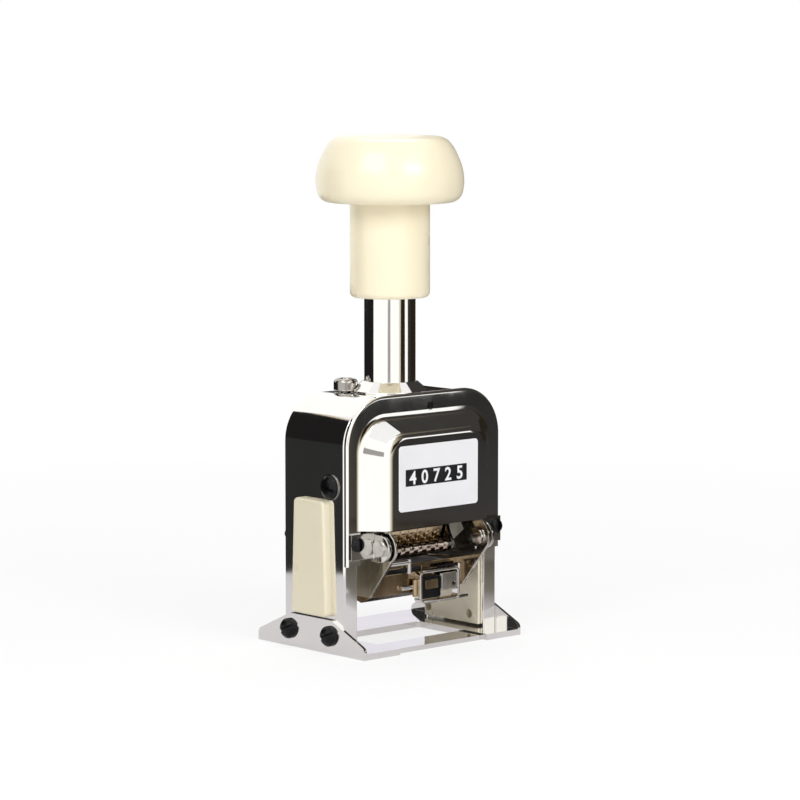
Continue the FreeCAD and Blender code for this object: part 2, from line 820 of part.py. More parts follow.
def make_main_spring():
    wire = s.spring_wire / 2
    helix = doc.addObject("Part::Helix", "spring_path")
    bind(helix, "Radius", s.spring_radius)
    bind(helix, "Pitch", s.spring_pitch)
    bind(helix, "Height", s.tube_top - bridge_top - s.spring_wire - s.running_gap * 2)
    section = doc.addObject("Part::Circle", "spring_section")
    bind(section, "Radius", wire)
    place(section, s.spring_radius, turn=((1, 0, 0), 90))
    sweep = doc.addObject("Part::Sweep", "main_spring")
    sweep.Sections = [section]
    sweep.Spine = (helix, [])
    sweep.Solid = True
    sweep.Frenet = True
    keep("main_spring", place(sweep, z=bridge_top + wire + s.running_gap))


# Plunger and handle
def make_plunger_tube():
    body = new_body("plunger_tube")
    foot_top = yoke_top + s.foot_sheet
    profile = [(tube_bore, yoke_top, None), (s.foot_radius, yoke_top, None),
               (s.foot_radius, foot_top, None), (s.tube_radius, foot_top, None),
               (s.tube_radius, s.tube_top, None), (tube_bore, s.tube_top, None)]
    revolve(body, outlined(body, "XZ_Plane", profile))
    half_slot = s.bridge_width / 2 + s.bridge_slot_gap
    slot = block(-half_slot, half_slot, bridge_bottom - s.stop_gap, bridge_top + s.stroke + s.stop_gap)
    pocket(body, outlined(body, "YZ_Plane", slot))
    foot_screws = [(ZERO, foot_screw_side * side) for side in SIDES]
    pocket(body, holes_at(body, "XY_Plane", foot_screws, s.foot_screw_shank))
    keep("plunger_tube", body)
    screws = []
    for u, v in foot_screws:
        head = rod("foot_screw_head", "z", (u, v, foot_top), s.foot_screw_head, s.foot_screw_head_height)
        shank = rod("foot_screw_shank", "z", (u, v, yoke_top - s.yoke_sheet), s.foot_screw_shank,
                    s.yoke_sheet + s.foot_sheet)
        screws.append(fuse("foot_screw", [head, shank]))
    keep("foot_screws", group("foot_screws", screws))


def make_handle():
    cap = new_body("tube_cap")
    cap_top = s.tube_top + s.cap_height
    profile = [(ZERO, s.tube_top, None), (s.tube_radius, s.tube_top, None), (s.tube_radius, cap_top, None),
               (ZERO, cap_top, None)]
    revolve(cap, outlined(cap, "XZ_Plane", profile))
    keep("tube_cap", cap)
    sleeve = new_body("handle_sleeve")
    bore = s.tube_radius + s.running_gap
    profile = [(bore, s.sleeve_bottom, None),
               (s.sleeve_radius - s.sleeve_round, s.sleeve_bottom + s.sleeve_round, s.sleeve_round),
               (s.sleeve_radius, s.sleeve_top, None), (bore, s.sleeve_top, None)]
    revolve(sleeve, outlined(sleeve, "XZ_Plane", profile))
    keep("handle_sleeve", sleeve)
    knob = new_body("handle_knob")
    top = s.sleeve_top + s.knob_rise
    profile = [(bore, s.sleeve_top, None),
               (s.knob_radius - s.knob_belly_round, s.sleeve_top + s.knob_belly_round, s.knob_belly_round),
               (s.knob_side_radius - s.knob_side_round, s.sleeve_top + s.knob_side_rise, s.knob_side_round),
               (s.knob_top_radius - s.knob_top_round, top - s.knob_top_round, s.knob_top_round),
               (ZERO, top, None), (ZERO, cap_top, None), (bore, cap_top, None)]
    revolve(knob, outlined(knob, "XZ_Plane", profile))
    keep("handle_knob", knob)


# Carriage
def make_yoke():
    body = new_body("carriage_yoke")
    underside = yoke_top - s.yoke_sheet
    bridge = block(-s.yoke_side, s.yoke_side, -s.yoke_front, s.yoke_back)
    pad(body, outlined(body, "XY_Plane", bridge, underside), s.yoke_sheet)
    reach = guide_inside - s.shoe_gap - s.shoe_flange
    half_shoe = s.shoe_width / 2
    wings = block(-reach, reach, s.shoe_back - half_shoe, s.shoe_back + half_shoe)
    pad(body, outlined(body, "XY_Plane", wings, underside), s.yoke_sheet)
    cheek_bottom = s.wheel_axis + s.yoke_cheek_rise
    cheek = [(ZERO, s.wheel_axis, s.yoke_shaft_round), (s.yoke_back, cheek_bottom, None),
             (s.yoke_back, yoke_top, None), (-s.yoke_front, yoke_top, None),
             (-s.yoke_front, cheek_bottom, None)]
    for side in SIDES:
        offset = plate_offset(side, yoke_inside, s.yoke_sheet)
        pad(body, outlined(body, "YZ_Plane", cheek, offset), s.yoke_sheet)
    slot_round = s.arm_pin_radius + s.arm_pin_play
    low_u, v = arm_pin
    slot = [(low_u, v, slot_round), (low_u + s.arm_pin_travel, v, slot_round)]
    pocket(body, oblong(body, slot))
    pocket(body, holes_at(body, "YZ_Plane", [(ZERO, s.wheel_axis)], s.shaft_radius))
    foot_screws = [(ZERO, foot_screw_side * side) for side in SIDES]
    pocket(body, holes_at(body, "XY_Plane", foot_screws, s.foot_screw_shank))
    keep("carriage_yoke", body)


def oblong(body, rounds, plane="YZ_Plane", offset=ZERO):
    """A slot or link outline that wraps two rounds."""
    return outlined(body, plane, rounds, offset)


def make_shoes():
    for side in SIDES:
        name = f"guide_shoe_{side_name(side)}"
        flange_low = guide_inside - s.shoe_gap - s.shoe_flange
        web_length = s.shoe_gap + s.shoe_web
        flange = box(name + "_flange", (plate_offset(side, flange_low, s.shoe_flange),
                                        s.shoe_back - s.shoe_flange_width / 2, shoe_bottom),
                     (s.shoe_flange, s.shoe_flange_width, s.shoe_height))
        web = box(name + "_web", (plate_offset(side, flange_low + s.shoe_flange, web_length),
                                  s.shoe_back - s.shoe_width / 2, shoe_bottom),
                  (web_length, s.shoe_width, s.shoe_height))
        keep(name, fuse(name, [flange, web]))


def make_wheel_shaft():
    half = s.yoke_side
    axis = s.wheel_axis
    core = rod("shaft_core", "x", (-half, ZERO, axis), s.shaft_radius, half * 2)
    heads = [rod("shaft_head", "x", (plate_offset(side, half, s.shaft_head_sheet), ZERO, axis),
                 s.shaft_head_radius, s.shaft_head_sheet) for side in SIDES]
    keep("wheel_shaft", fuse("wheel_shaft", [core, *heads]))
    rocker_outside = rocker_inside + s.rocker_sheet
    inside = rocker_outside + s.washer_gap
    length = yoke_inside - inside
    washers = [tube("shaft_washer", "x", (plate_offset(side, inside, length), ZERO, axis),
                    s.shaft_washer_radius, s.shaft_radius, length) for side in SIDES]
    keep("shaft_washers", group("shaft_washers", washers))


def digit_drum():
    """Corners of the wheel's ten printing faces, with a face pointing down."""
    corners = []
    for index in range(DIGIT_COUNT):
        angle = 2 * math.pi * (index + 0.5) / DIGIT_COUNT - math.pi / 2
        corners.append((s.wheel_radius * math.cos(angle), s.wheel_radius * math.sin(angle), None))
    return corners


def make_wheels():
    width = s.wheel_pitch - s.wheel_gap
    for index in range(WHEEL_COUNT):
        name = f"number_wheel_{index + 1}"
        body = new_body(name)
        pad(body, outlined(body, "YZ_Plane", digit_drum(), -width / 2), width)
        pocket(body, holes_at(body, "YZ_Plane", [(ZERO, ZERO)], s.shaft_radius + s.wheel_bore_gap))
        tooth = [(-s.ratchet_step, -s.wheel_radius - s.overrun, None),
                 (s.ratchet_step, -s.wheel_radius, None),
                 (-s.ratchet_step, s.ratchet_depth - s.wheel_radius, None)]
        cutter = pocket(body, outlined(body, "YZ_Plane", tooth, width / 2), s.ratchet_step)
        pattern = body.newObject("PartDesign::PolarPattern", "Ratchet")
        pattern.Originals = [cutter]
        pattern.Axis = (cutter.Profile[0], ["N_Axis"])
        pattern.Angle = 360
        pattern.Occurrences = DIGIT_COUNT
        body.Tip = pattern
        middle = s.wheel_pitch * (index - (WHEEL_COUNT - 1) / 2)
        keep(name, place(body, middle, ZERO, s.wheel_axis))


# Feed rocker
def make_rocker():
    angle = math.radians(ROCKER_REST_ANGLE)
    rod_spot = (s.rocker_rod_reach * math.cos(angle), s.wheel_axis + s.rocker_rod_reach * math.sin(angle))
    for side in SIDES:
        name = f"rocker_plate_{side_name(side)}"
        body = new_body(name)
        link = [(ZERO, s.wheel_axis, s.rocker_radius), (*rod_spot, s.rocker_eye)]
        offset = plate_offset(side, rocker_inside, s.rocker_sheet)
        pad(body, oblong(body, link, offset=offset), s.rocker_sheet)
        pocket(body, holes_at(body, "YZ_Plane", [(ZERO, s.wheel_axis)], s.shaft_radius + s.wheel_bore_gap))
        pocket(body, holes_at(body, "YZ_Plane", [rod_spot], s.rocker_rod_radius))
        keep(name, body)
    reach = rocker_inside + s.rocker_sheet
    keep("pawl_rod", rod("pawl_rod", "x", (-reach, *rod_spot), s.rocker_rod_radius, reach * 2))
    pawls = []
    for index in range(WHEEL_COUNT):
        body = new_body("pawl")
        middle = s.wheel_pitch * (index - (WHEEL_COUNT - 1) / 2)
        tip_reach = s.rocker_rod_reach - s.wheel_radius - s.pawl_tip_gap - s.pawl_tip / 2
        finger = [(ZERO, ZERO, s.rocker_rod_radius + s.pawl_wall), (tip_reach, ZERO, s.pawl_tip / 2)]
        pad(body, oblong(body, finger, offset=-s.pawl_width / 2), s.pawl_width)
        pocket(body, holes_at(body, "YZ_Plane", [(ZERO, ZERO)], s.rocker_rod_radius))
        place(body, middle, *rod_spot, turn=((1, 0, 0), ROCKER_REST_ANGLE - 180))
        pawls.append(body)
    keep("feed_pawls", group("feed_pawls", pawls))


def make_detent_comb():
    body = new_body("detent_comb")
    half = wheel_bank / 2
    back = s.yoke_back + s.comb_sheet
    seat = yoke_top - s.yoke_sheet
    root = s.wheel_axis + s.comb_root_rise
    pad(body, outlined(body, "XY_Plane", block(-half, half, back - s.comb_tab, back), seat - s.comb_sheet),
        s.comb_sheet)
    pad(body, outlined(body, "XZ_Plane", block(-half, half, root, seat), -back), s.comb_sheet)
    fingers = new_sketch(body, "XZ_Plane", -back)
    for index in range(WHEEL_COUNT):
        middle = s.wheel_pitch * (index - (WHEEL_COUNT - 1) / 2)
        draw_outline(fingers, block(middle - s.comb_finger / 2, middle + s.comb_finger / 2,
                                    s.wheel_axis + s.comb_finger_rise, root + s.comb_sheet))
    pad(body, fingers, s.comb_sheet)
    keep("detent_comb", body)


# Ink arm
def make_lugs():
    nose = (-s.pivot_front, s.pivot_height)
    tab_outside = half_frame - s.lug_tab_margin
    for side in SIDES:
        name = f"pivot_lug_{side_name(side)}"
        body = new_body(name)
        ear = [(-cover_face, nose[1] - s.lug_nose, None), (-cover_face, nose[1] + s.lug_nose, None),
               (nose[0], nose[1], s.lug_nose)]
        pad(body, outlined(body, "YZ_Plane", ear, plate_offset(side, lug_inside, s.lug_sheet)), s.lug_sheet)
        low, high = sorted((lug_inside * side, tab_outside * side), key=lambda size: size.value)
        pad(body, outlined(body, "XZ_Plane", block(low, high, s.lug_tab_bottom, s.lug_tab_top), cover_face),
            s.lug_sheet)
        pocket(body, holes_at(body, "YZ_Plane", [nose], s.pivot_radius))
        pocket(body, holes_at(body, "XZ_Plane", cover_screws, s.cover_shank_radius))
        keep(name, body)
    pins = []
    for side in SIDES:
        inner_end = cheek_inside - s.stop_gap
        shank = rod("pivot_shank", "x", (plate_offset(side, inner_end, lug_outside - inner_end), *nose),
                    s.pivot_radius, lug_outside - inner_end)
        head_low = inner_end - s.pivot_head_sheet
        head = rod("pivot_head", "x", (plate_offset(side, head_low, s.pivot_head_sheet), *nose),
                   s.pivot_head, s.pivot_head_sheet)
        cap = rod("pivot_cap", "x", (plate_offset(side, lug_outside, s.pivot_head_sheet), *nose),
                  s.pivot_head, s.pivot_head_sheet)
        pins.append(fuse("pivot_pin", [shank, head, cap]))
    keep("pivot_pins", group("pivot_pins", pins))


def make_ink_arms():
    nose = (-s.pivot_front, s.pivot_height)
    drive_pins = []
    for side in SIDES:
        name = f"ink_arm_{side_name(side)}"
        offset = plate_offset(side, cheek_inside, s.cheek_sheet)
        body = new_body(name)
        lower = [(*nose, s.cheek_nose), (-s.cheek_toe, s.cheek_bottom, None),
                 (s.cheek_heel, s.cheek_bottom, None), (s.cheek_heel, s.cheek_back_top, None),
                 (-s.cheek_toe / 2, s.cheek_waist, None)]
        pad(body, outlined(body, "YZ_Plane", lower, offset), s.cheek_sheet)
        lobe = [(*nose, s.cheek_nose), (*arm_pin, s.arm_pin_boss)]
        pad(body, oblong(body, lobe, offset=offset), s.cheek_sheet)
        pocket(body, holes_at(body, "YZ_Plane", [nose], s.pivot_radius + s.pivot_gap))
        pocket(body, holes_at(body, "YZ_Plane", [arm_pin], s.arm_pin_radius))
        keep(name, body)
        length = cheek_outside - arm_pin_inside
        drive_pins.append(rod("drive_pin", "x", (plate_offset(side, arm_pin_inside, length), *arm_pin),
                              s.arm_pin_radius, length))
    keep("drive_pins", group("drive_pins", drive_pins))


def make_ink_tray():
    half = cheek_inside
    body = new_body("ink_tray")
    outer = [(-s.cheek_toe, s.cheek_bottom, None), (-s.tray_belly_front, s.tray_belly, None),
             (s.cheek_heel, s.tray_floor, None), (s.cheek_heel, s.cheek_back_top, None),
             (-s.cheek_toe, s.tray_rim, None)]
    pad(body, outlined(body, "YZ_Plane", outer, -half), half * 2)
    wall = s.tray_sheet
    mouth = s.tray_rim + s.overrun
    inner = [(wall - s.cheek_toe, s.cheek_bottom + wall, None),
             (-s.tray_belly_front, s.tray_belly + wall, None),
             (s.cheek_heel - wall, s.tray_floor + wall, None),
             (s.cheek_heel - wall, mouth, None), (wall - s.cheek_toe, mouth, None)]
    pocket(body, outlined(body, "YZ_Plane", inner, wall - half), (half - wall) * 2, reverse=True)
    slot = block(wall - half, s.clip_left, s.tray_slot_top - s.tray_slot, s.tray_slot_top)
    pocket(body, outlined(body, "XZ_Plane", slot, s.cheek_toe), wall)
    keep("ink_tray", body)


def make_ink_pad():
    body = new_body("ink_pad")
    wall = s.tray_sheet + s.ink_pad_gap
    half = cheek_inside - wall
    top = s.wheel_axis - s.wheel_radius - s.ink_gap
    section = [(-s.ink_pad_front, s.cheek_bottom + wall, None),
               (s.cheek_heel - wall, s.tray_floor + wall, None),
               (s.cheek_heel - wall, top - s.ink_pad_slope, None), (-s.ink_pad_front, top, None)]
    pad(body, outlined(body, "YZ_Plane", section, -half), half * 2)
    keep("ink_pad", body)


def make_pad_clip():
    """A bent wire frame on the tray's front that holds the pad in."""
    body = new_body("pad_clip")
    wire = s.clip_wire
    outer = rounded_block(-s.clip_left, s.clip_right, s.clip_bottom, s.clip_top, wire * 2)
    depth = s.clip_front - s.cheek_toe
    pad(body, outlined(body, "XZ_Plane", outer, s.cheek_toe), depth)
    inner = rounded_block(wire - s.clip_left, s.clip_right - wire,
                          s.clip_bottom + wire, s.clip_top - wire, wire)
    pocket(body, outlined(body, "XZ_Plane", inner))
    keep("pad_clip", body)


# Selector on the back and lock knob on the top
def make_selector():
    face = s.frame_back + s.back_sheet
    disc = tube("dial_plate", "y", (ZERO, face, s.dial_height), s.dial_radius, s.pointer_pin + s.running_gap,
                s.dial_sheet)
    keep("dial_plate", disc)
    start = face + s.dial_sheet + s.dial_gap
    hub = rod("pointer_hub", "y", (ZERO, start, s.dial_height), s.pointer_hub, s.pointer_hub_height)
    blade = box("pointer_blade", (-s.pointer_width / 2, start, s.dial_height),
                (s.pointer_width, s.pointer_sheet, s.pointer_length))
    pin_start = s.frame_back - s.pointer_sheet
    pin = rod("pointer_pin", "y", (ZERO, pin_start, s.dial_height), s.pointer_pin, start - pin_start)
    keep("selector_pointer", fuse("selector_pointer", [hub, blade, pin]))


def make_lock_knob():
    body = new_body("lock_knob")
    low = s.lock_gap
    profile = [(ZERO, -s.lock_post_length, None), (s.lock_post, -s.lock_post_length, None),
               (s.lock_post, low, None), (s.lock_radius, low, None),
               (s.lock_radius - s.lock_round, low + s.lock_height - s.lock_round, s.lock_round),
               (s.lock_dish_radius, low + s.lock_height, None),
               (s.lock_dish_radius, low + s.lock_height - s.lock_dish_depth, None),
               (ZERO, low + s.lock_height - s.lock_dish_depth, None)]
    revolve(body, outlined(body, "XZ_Plane", profile))
    slot = block(-s.screw_slot_width / 2, s.screw_slot_width / 2,
                 low + s.lock_height - s.lock_dish_depth * 2, low + s.lock_height + s.overrun)
    pocket(body, outlined(body, "XZ_Plane", slot))
    keep("lock_knob", place(body, -s.lock_side, s.lock_back, s.frame_height))


make_outer_frame()
make_base_plate()
make_side_screws()
make_side_pads()
make_guides()
make_front_cover()
make_label()
make_back_cover()
make_cover_screws()
make_collar()
make_guide_bush()
make_bridge()
make_main_spring()
make_plunger_tube()
make_handle()
make_yoke()
make_shoes()
make_wheel_shaft()
make_wheels()
make_rocker()
make_detent_comb()
make_lugs()
make_ink_arms()
make_ink_tray()
make_ink_pad()
make_pad_clip()
make_selector()
make_lock_knob()
doc.recompute()

# Checks before anything is written
for item in doc.Objects:
    if "Invalid" in item.State or "Error" in item.State:
        raise RuntimeError(f"{item.Name} ({item.Label}) failed: {item.State}")
    if item.TypeId == "PartDesign::Pocket" and item.Shape.Volume >= item.BaseFeature.Shape.Volume:
        raise RuntimeError(f"{item.Name} cuts nothing")
for name, feature in nodes.items():
    if feature.Shape.isNull() or not feature.Shape.isValid():
        raise RuntimeError(f"{name} has no valid shape")

os.makedirs("parts", exist_ok=True)
for name, feature in nodes.items():
    feature.Shape.exportStep(f"parts/{name}.step")
print(len(nodes), "sub-parts written")
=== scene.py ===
import bmesh
import bpy
import json
import math
from mathutils import Matrix, Vector


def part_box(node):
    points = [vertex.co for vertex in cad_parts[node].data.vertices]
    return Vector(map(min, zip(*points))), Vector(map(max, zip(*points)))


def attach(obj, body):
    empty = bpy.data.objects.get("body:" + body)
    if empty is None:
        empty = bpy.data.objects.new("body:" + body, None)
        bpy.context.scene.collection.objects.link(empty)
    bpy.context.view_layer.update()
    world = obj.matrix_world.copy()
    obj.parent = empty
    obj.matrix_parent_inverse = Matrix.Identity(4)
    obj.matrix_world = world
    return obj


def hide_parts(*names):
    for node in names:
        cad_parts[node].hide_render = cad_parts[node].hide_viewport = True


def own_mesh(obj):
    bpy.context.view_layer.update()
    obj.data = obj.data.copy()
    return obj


# The looks of a numbering machine: finishes, fine meshes, camera and light, in metres
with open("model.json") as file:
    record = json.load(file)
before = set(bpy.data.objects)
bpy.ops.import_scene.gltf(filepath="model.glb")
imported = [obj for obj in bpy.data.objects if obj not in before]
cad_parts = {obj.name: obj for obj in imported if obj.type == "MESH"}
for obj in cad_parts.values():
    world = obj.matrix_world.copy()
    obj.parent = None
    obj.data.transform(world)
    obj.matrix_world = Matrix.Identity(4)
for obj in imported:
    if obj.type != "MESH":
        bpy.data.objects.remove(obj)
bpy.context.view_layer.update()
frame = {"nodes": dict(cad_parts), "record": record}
scene = bpy.context.scene
MM = 0.001
TINY = 1e-7

# Camera fitted to the photograph, turned from straight ahead towards the machine's left side
VIEW_TURN = math.radians(42.38)
VIEW_TILT = math.radians(6.31)
VIEW_DISTANCE = 1.0835
VIEW_ASIDE = 3.34 * MM
VIEW_HEIGHT = 79.42 * MM
VIEW_LENS = 147.4
SENSOR_WIDTH = 36.0


def place_camera():
    ahead = Vector((math.sin(VIEW_TURN) * math.cos(VIEW_TILT), math.cos(VIEW_TURN) * math.cos(VIEW_TILT),
                    -math.sin(VIEW_TILT)))
    aside = Vector((math.cos(VIEW_TURN), -math.sin(VIEW_TURN), 0))
    target = aside * VIEW_ASIDE + Vector((0, 0, VIEW_HEIGHT))
    data = bpy.data.cameras.new("camera")
    data.lens = VIEW_LENS
    data.sensor_width = SENSOR_WIDTH
    data.clip_start = 0.01
    camera = bpy.data.objects.new("camera", data)
    scene.collection.objects.link(camera)
    camera.location = target - ahead * VIEW_DISTANCE
    camera.rotation_euler = ahead.to_track_quat("-Z", "Y").to_euler()
    scene.camera = camera


# Node materials
class Finish:
    """One material, with short calls for the nodes that it is made of."""

    def __init__(self, name, **constants):
        self.material = bpy.data.materials.new(name)
        self.material.use_nodes = True
        self.tree = self.material.node_tree
        self.shader = self.tree.nodes["Principled BSDF"]
        for socket, value in constants.items():
            self.shader.inputs[socket.replace("_", " ")].default_value = value
        self.place = self.node("ShaderNodeTexCoord").outputs["Object"]

    def node(self, kind, settings=None, **inputs):
        made = self.tree.nodes.new(kind)
        for name, value in (settings or {}).items():
            setattr(made, name, value)
        for name, value in inputs.items():
            self.feed(made.inputs[name.replace("_", " ")], value)
        return made

    def feed(self, socket, value):
        if isinstance(value, bpy.types.NodeSocket):
            self.tree.links.new(value, socket)
        else:
            socket.default_value = value

    def stretched(self, x, y, z):
        """The place in the object, scaled apart along each axis."""
        mapping = self.node("ShaderNodeMapping", Vector=self.place)
        mapping.inputs["Scale"].default_value = (x, y, z)
        return mapping.outputs["Vector"]

    def noise(self, scale, detail=4.0, roughness=0.55, place=None, distortion=0.0):
        made = self.node("ShaderNodeTexNoise", Vector=place or self.place, Scale=scale, Detail=detail,
                         Roughness=roughness, Distortion=distortion)
        return made.outputs["Fac"]

    def ramp(self, value, stops):
        """A colour ramp from (position, colour) pairs; a plain number makes a grey."""
        made = self.node("ShaderNodeValToRGB", Fac=value)
        ramp = made.color_ramp
        while len(ramp.elements) < len(stops):
            ramp.elements.new(0.5)
        for element, (position, colour) in zip(ramp.elements, stops):
            element.position = position
            element.color = (colour,) * 3 + (1,) if isinstance(colour, float) else (*colour, 1)
        return made.outputs["Color"]

    def range(self, value, low, high, start=0.3, end=0.7):
        made = self.node("ShaderNodeMapRange", Value=value)
        for name, number in (("From Min", start), ("From Max", end), ("To Min", low), ("To Max", high)):
            made.inputs[name].default_value = number
        return made.outputs["Result"]

    def bump(self, *layers):
        """Stacks (height, depth in metres) layers into the surface normal."""
        normal = None
        for height, depth in layers:
            made = self.node("ShaderNodeBump", Height=height, Distance=depth)
            if normal:
                self.feed(made.inputs["Normal"], normal)
            normal = made.outputs["Normal"]
        self.feed(self.shader.inputs["Normal"], normal)

    def colour(self, value):
        self.feed(self.shader.inputs["Base Color"], value)

    def rough(self, value):
        self.feed(self.shader.inputs["Roughness"], value)


def chrome_finish(name, dark, bright, smooth=0.035, dull=0.11, metallic=1.0):
    """Polished plate with a faint pressing ripple, wiping marks and fine scratches."""
    made = Finish(name, Metallic=metallic)
    ripple = made.noise(38.0, 1.0)
    wiping = made.noise(60.0, 5.0, 0.6, made.stretched(1, 1, 0.35))
    scratch = made.noise(700.0, 3.0, 0.7, made.stretched(0.12, 1, 1))
    made.colour(made.ramp(wiping, [(0.3, dark), (0.7, bright)]))
    made.rough(made.range(wiping, smooth, dull, 0.35, 0.75))
    made.bump((ripple, 0.00006), (scratch, 0.0000012))
    return made.material


def plastic_finish(name, shade, pale):
    """Glossy moulding with a faint cloudiness, a satin skin and light handling marks."""
    made = Finish(name, IOR=1.5, Subsurface_Weight=0.06, Subsurface_Scale=0.002, Coat_Weight=0.25,
                  Coat_Roughness=0.12)
    mottle = made.noise(22.0, 1.0)
    skin = made.noise(1900.0, 2.0)
    handling = made.noise(75.0, 2.0, 0.5)
    made.colour(made.ramp(mottle, [(0.3, shade), (0.7, pale)]))
    made.rough(made.range(handling, 0.27, 0.32))
    made.bump((mottle, 0.00001), (skin, 0.0000012))
    return made.material


def black_finish(name):
    """Glossy black oxide on steel, rubbed a little brighter in places."""
    made = Finish(name, Specular_IOR_Level=0.17, Coat_Weight=0.12, Coat_Roughness=0.2)
    grain = made.noise(260.0, 3.0, 0.5)
    rub = made.noise(90.0, 3.0, 0.6)
    made.colour(made.ramp(rub, [(0.4, (0.003, 0.003, 0.004)), (0.85, (0.009, 0.009, 0.010))]))
    made.rough(made.range(grain, 0.2, 0.3))
    made.bump((grain, 0.000002))
    return made.material


def turned_finish(name, dark, bright, ring_scale, low=0.16, high=0.34):
    """Turned metal: fine tool rings about the machine's cross axis, with tarnish between them."""
    made = Finish(name, Metallic=1.0)
    rings = made.noise(ring_scale, 2.0, 0.5, made.stretched(1, 0.08, 0.08))
    tarnish = made.noise(130.0, 5.0, 0.6)
    made.colour(made.ramp(tarnish, [(0.3, dark), (0.68, bright)]))
    made.rough(made.range(rings, low, high))
    made.bump((rings, 0.000008), (tarnish, 0.000006))
    return made.material


def wire_finish(name):
    """Drawn spring wire: lines along the winding and a grey oil film."""
    made = Finish(name, Metallic=1.0)
    film = made.noise(240.0, 5.0, 0.6)
    made.colour(made.ramp(film, [(0.3, (0.25, 0.25, 0.26)), (0.7, (0.50, 0.50, 0.50))]))
    made.rough(made.range(film, 0.2, 0.4))
    made.bump((made.noise(900.0, 2.0, 0.5, made.stretched(0.2, 0.2, 1)), 0.000004))
    return made.material


def card_finish(name):
    """White glazed card with a faint fibre under the gloss."""
    made = Finish(name, IOR=1.45, Coat_Weight=0.35, Coat_Roughness=0.05)
    fibre = made.noise(850.0, 5.0, 0.7)
    cloud = made.noise(55.0, 2.0)
    made.colour(made.ramp(cloud, [(0.3, (0.79, 0.785, 0.81)), (0.7, (0.845, 0.84, 0.86))]))
    made.rough(made.range(fibre, 0.3, 0.45))
    made.bump((fibre, 0.000003))
    return made.material


def print_finish(name, low, high):
    """Printing ink on the card, a touch uneven where it was laid on."""
    made = Finish(name, IOR=1.45, Coat_Weight=0.35, Coat_Roughness=0.05)
    spread = made.noise(600.0, 4.0, 0.6)
    made.colour(made.ramp(spread, [(0.3, low), (0.7, high)]))
    made.rough(made.range(spread, 0.28, 0.42))
    return made.material


def enamel_finish(name):
    """Stove enamel with a slight orange peel."""
    made = Finish(name, IOR=1.5, Coat_Weight=0.4, Coat_Roughness=0.1)
    peel = made.noise(420.0, 2.0)
    made.colour(made.ramp(made.noise(90.0, 4.0), [(0.3, (0.78, 0.78, 0.75)), (0.7, (0.88, 0.88, 0.86))]))
    made.rough(made.range(peel, 0.25, 0.38))
    made.bump((peel, 0.00001))
    return made.material


def felt_finish(name):
    """Felt soaked with black ink: matted fibres with damp, shinier patches."""
    made = Finish(name, Sheen_Weight=0.35, Sheen_Roughness=0.6)
    fibre = made.noise(1500.0, 7.0, 0.75, distortion=1.2)
    damp = made.noise(140.0, 3.0)
    made.colour(made.ramp(fibre, [(0.3, (0.006, 0.006, 0.010)), (0.75, (0.045, 0.042, 0.055))]))
    made.rough(made.range(damp, 0.35, 0.9))
    made.bump((fibre, 0.00009))
    return made.material


CHROME = chrome_finish("chrome_plate", (0.86, 0.85, 0.83), (0.93, 0.92, 0.90))
# Darker copies of the chrome plate: the shade-darkened steel, arm plate and lug plate paint shade on parts
# inside the frame; the same darkened steel also goes on the side washers and clip tail
SHADE_DARKENED_STEEL = chrome_finish("steel_darkened_for_shade", (0.16, 0.15, 0.14), (0.27, 0.255, 0.24), 0.1, 0.22)
# Brown tone with a strong dark-to-bright mottle on the ink tray and the pad block's panel: painted tan
# reflections and painted shade
TRAY_REFLECTION_TONE = chrome_finish("tray_painted_reflection", (0.12, 0.08, 0.045), (0.58, 0.44, 0.29), 0.06, 0.18)
ARM_PLATE = chrome_finish("arm_plate", (0.38, 0.36, 0.32), (0.62, 0.59, 0.54), 0.08, 0.18)
LUG_PLATE = chrome_finish("lug_plate", (0.46, 0.45, 0.43), (0.70, 0.68, 0.65), 0.05, 0.13)
LOCK_PLATE = chrome_finish("lock_plate", (0.28, 0.265, 0.245), (0.46, 0.435, 0.41), 0.14, 0.26)
GUIDE_PLATE = chrome_finish("guide_plate", (0.80, 0.74, 0.60), (0.88, 0.82, 0.68), 0.22, 0.36, 0.2)
CREAM = plastic_finish("cream_moulding", (0.90, 0.815, 0.60), (0.91, 0.825, 0.612))
PAD_CREAM = plastic_finish("side_pad_moulding", (0.77, 0.705, 0.53), (0.78, 0.715, 0.54))
BLACK = black_finish("black_oxide_steel")
BRASS = turned_finish("turned_brass", (0.50, 0.37, 0.22), (0.84, 0.70, 0.49), 1500.0, 0.1, 0.22)
PAWL_BRONZE = turned_finish("pawl_bronze", (0.34, 0.24, 0.19), (0.93, 0.80, 0.72), 900.0, 0.05, 0.15)
STEEL = turned_finish("bright_steel_turned", (0.62, 0.61, 0.59), (0.86, 0.85, 0.83), 1100.0, 0.08, 0.2)
WIRE = wire_finish("spring_wire")
CARD = card_finish("glazed_card")
BAND_INK = print_finish("band_ink", (0.006, 0.006, 0.007), (0.016, 0.016, 0.018))
DIGIT_INK = print_finish("digit_ink", (0.84, 0.84, 0.86), (0.92, 0.92, 0.93))
ENAMEL = enamel_finish("dial_enamel")
FELT = felt_finish("inked_felt")
SLOT_FINISHES = {"chrome": CHROME, "cream_plastic": CREAM, "black_oxide": BLACK, "brass": BRASS,
                 "bright_steel": STEEL, "spring_steel": WIRE, "label_white": CARD, "dial_white": ENAMEL,
                 "ink_felt": FELT}
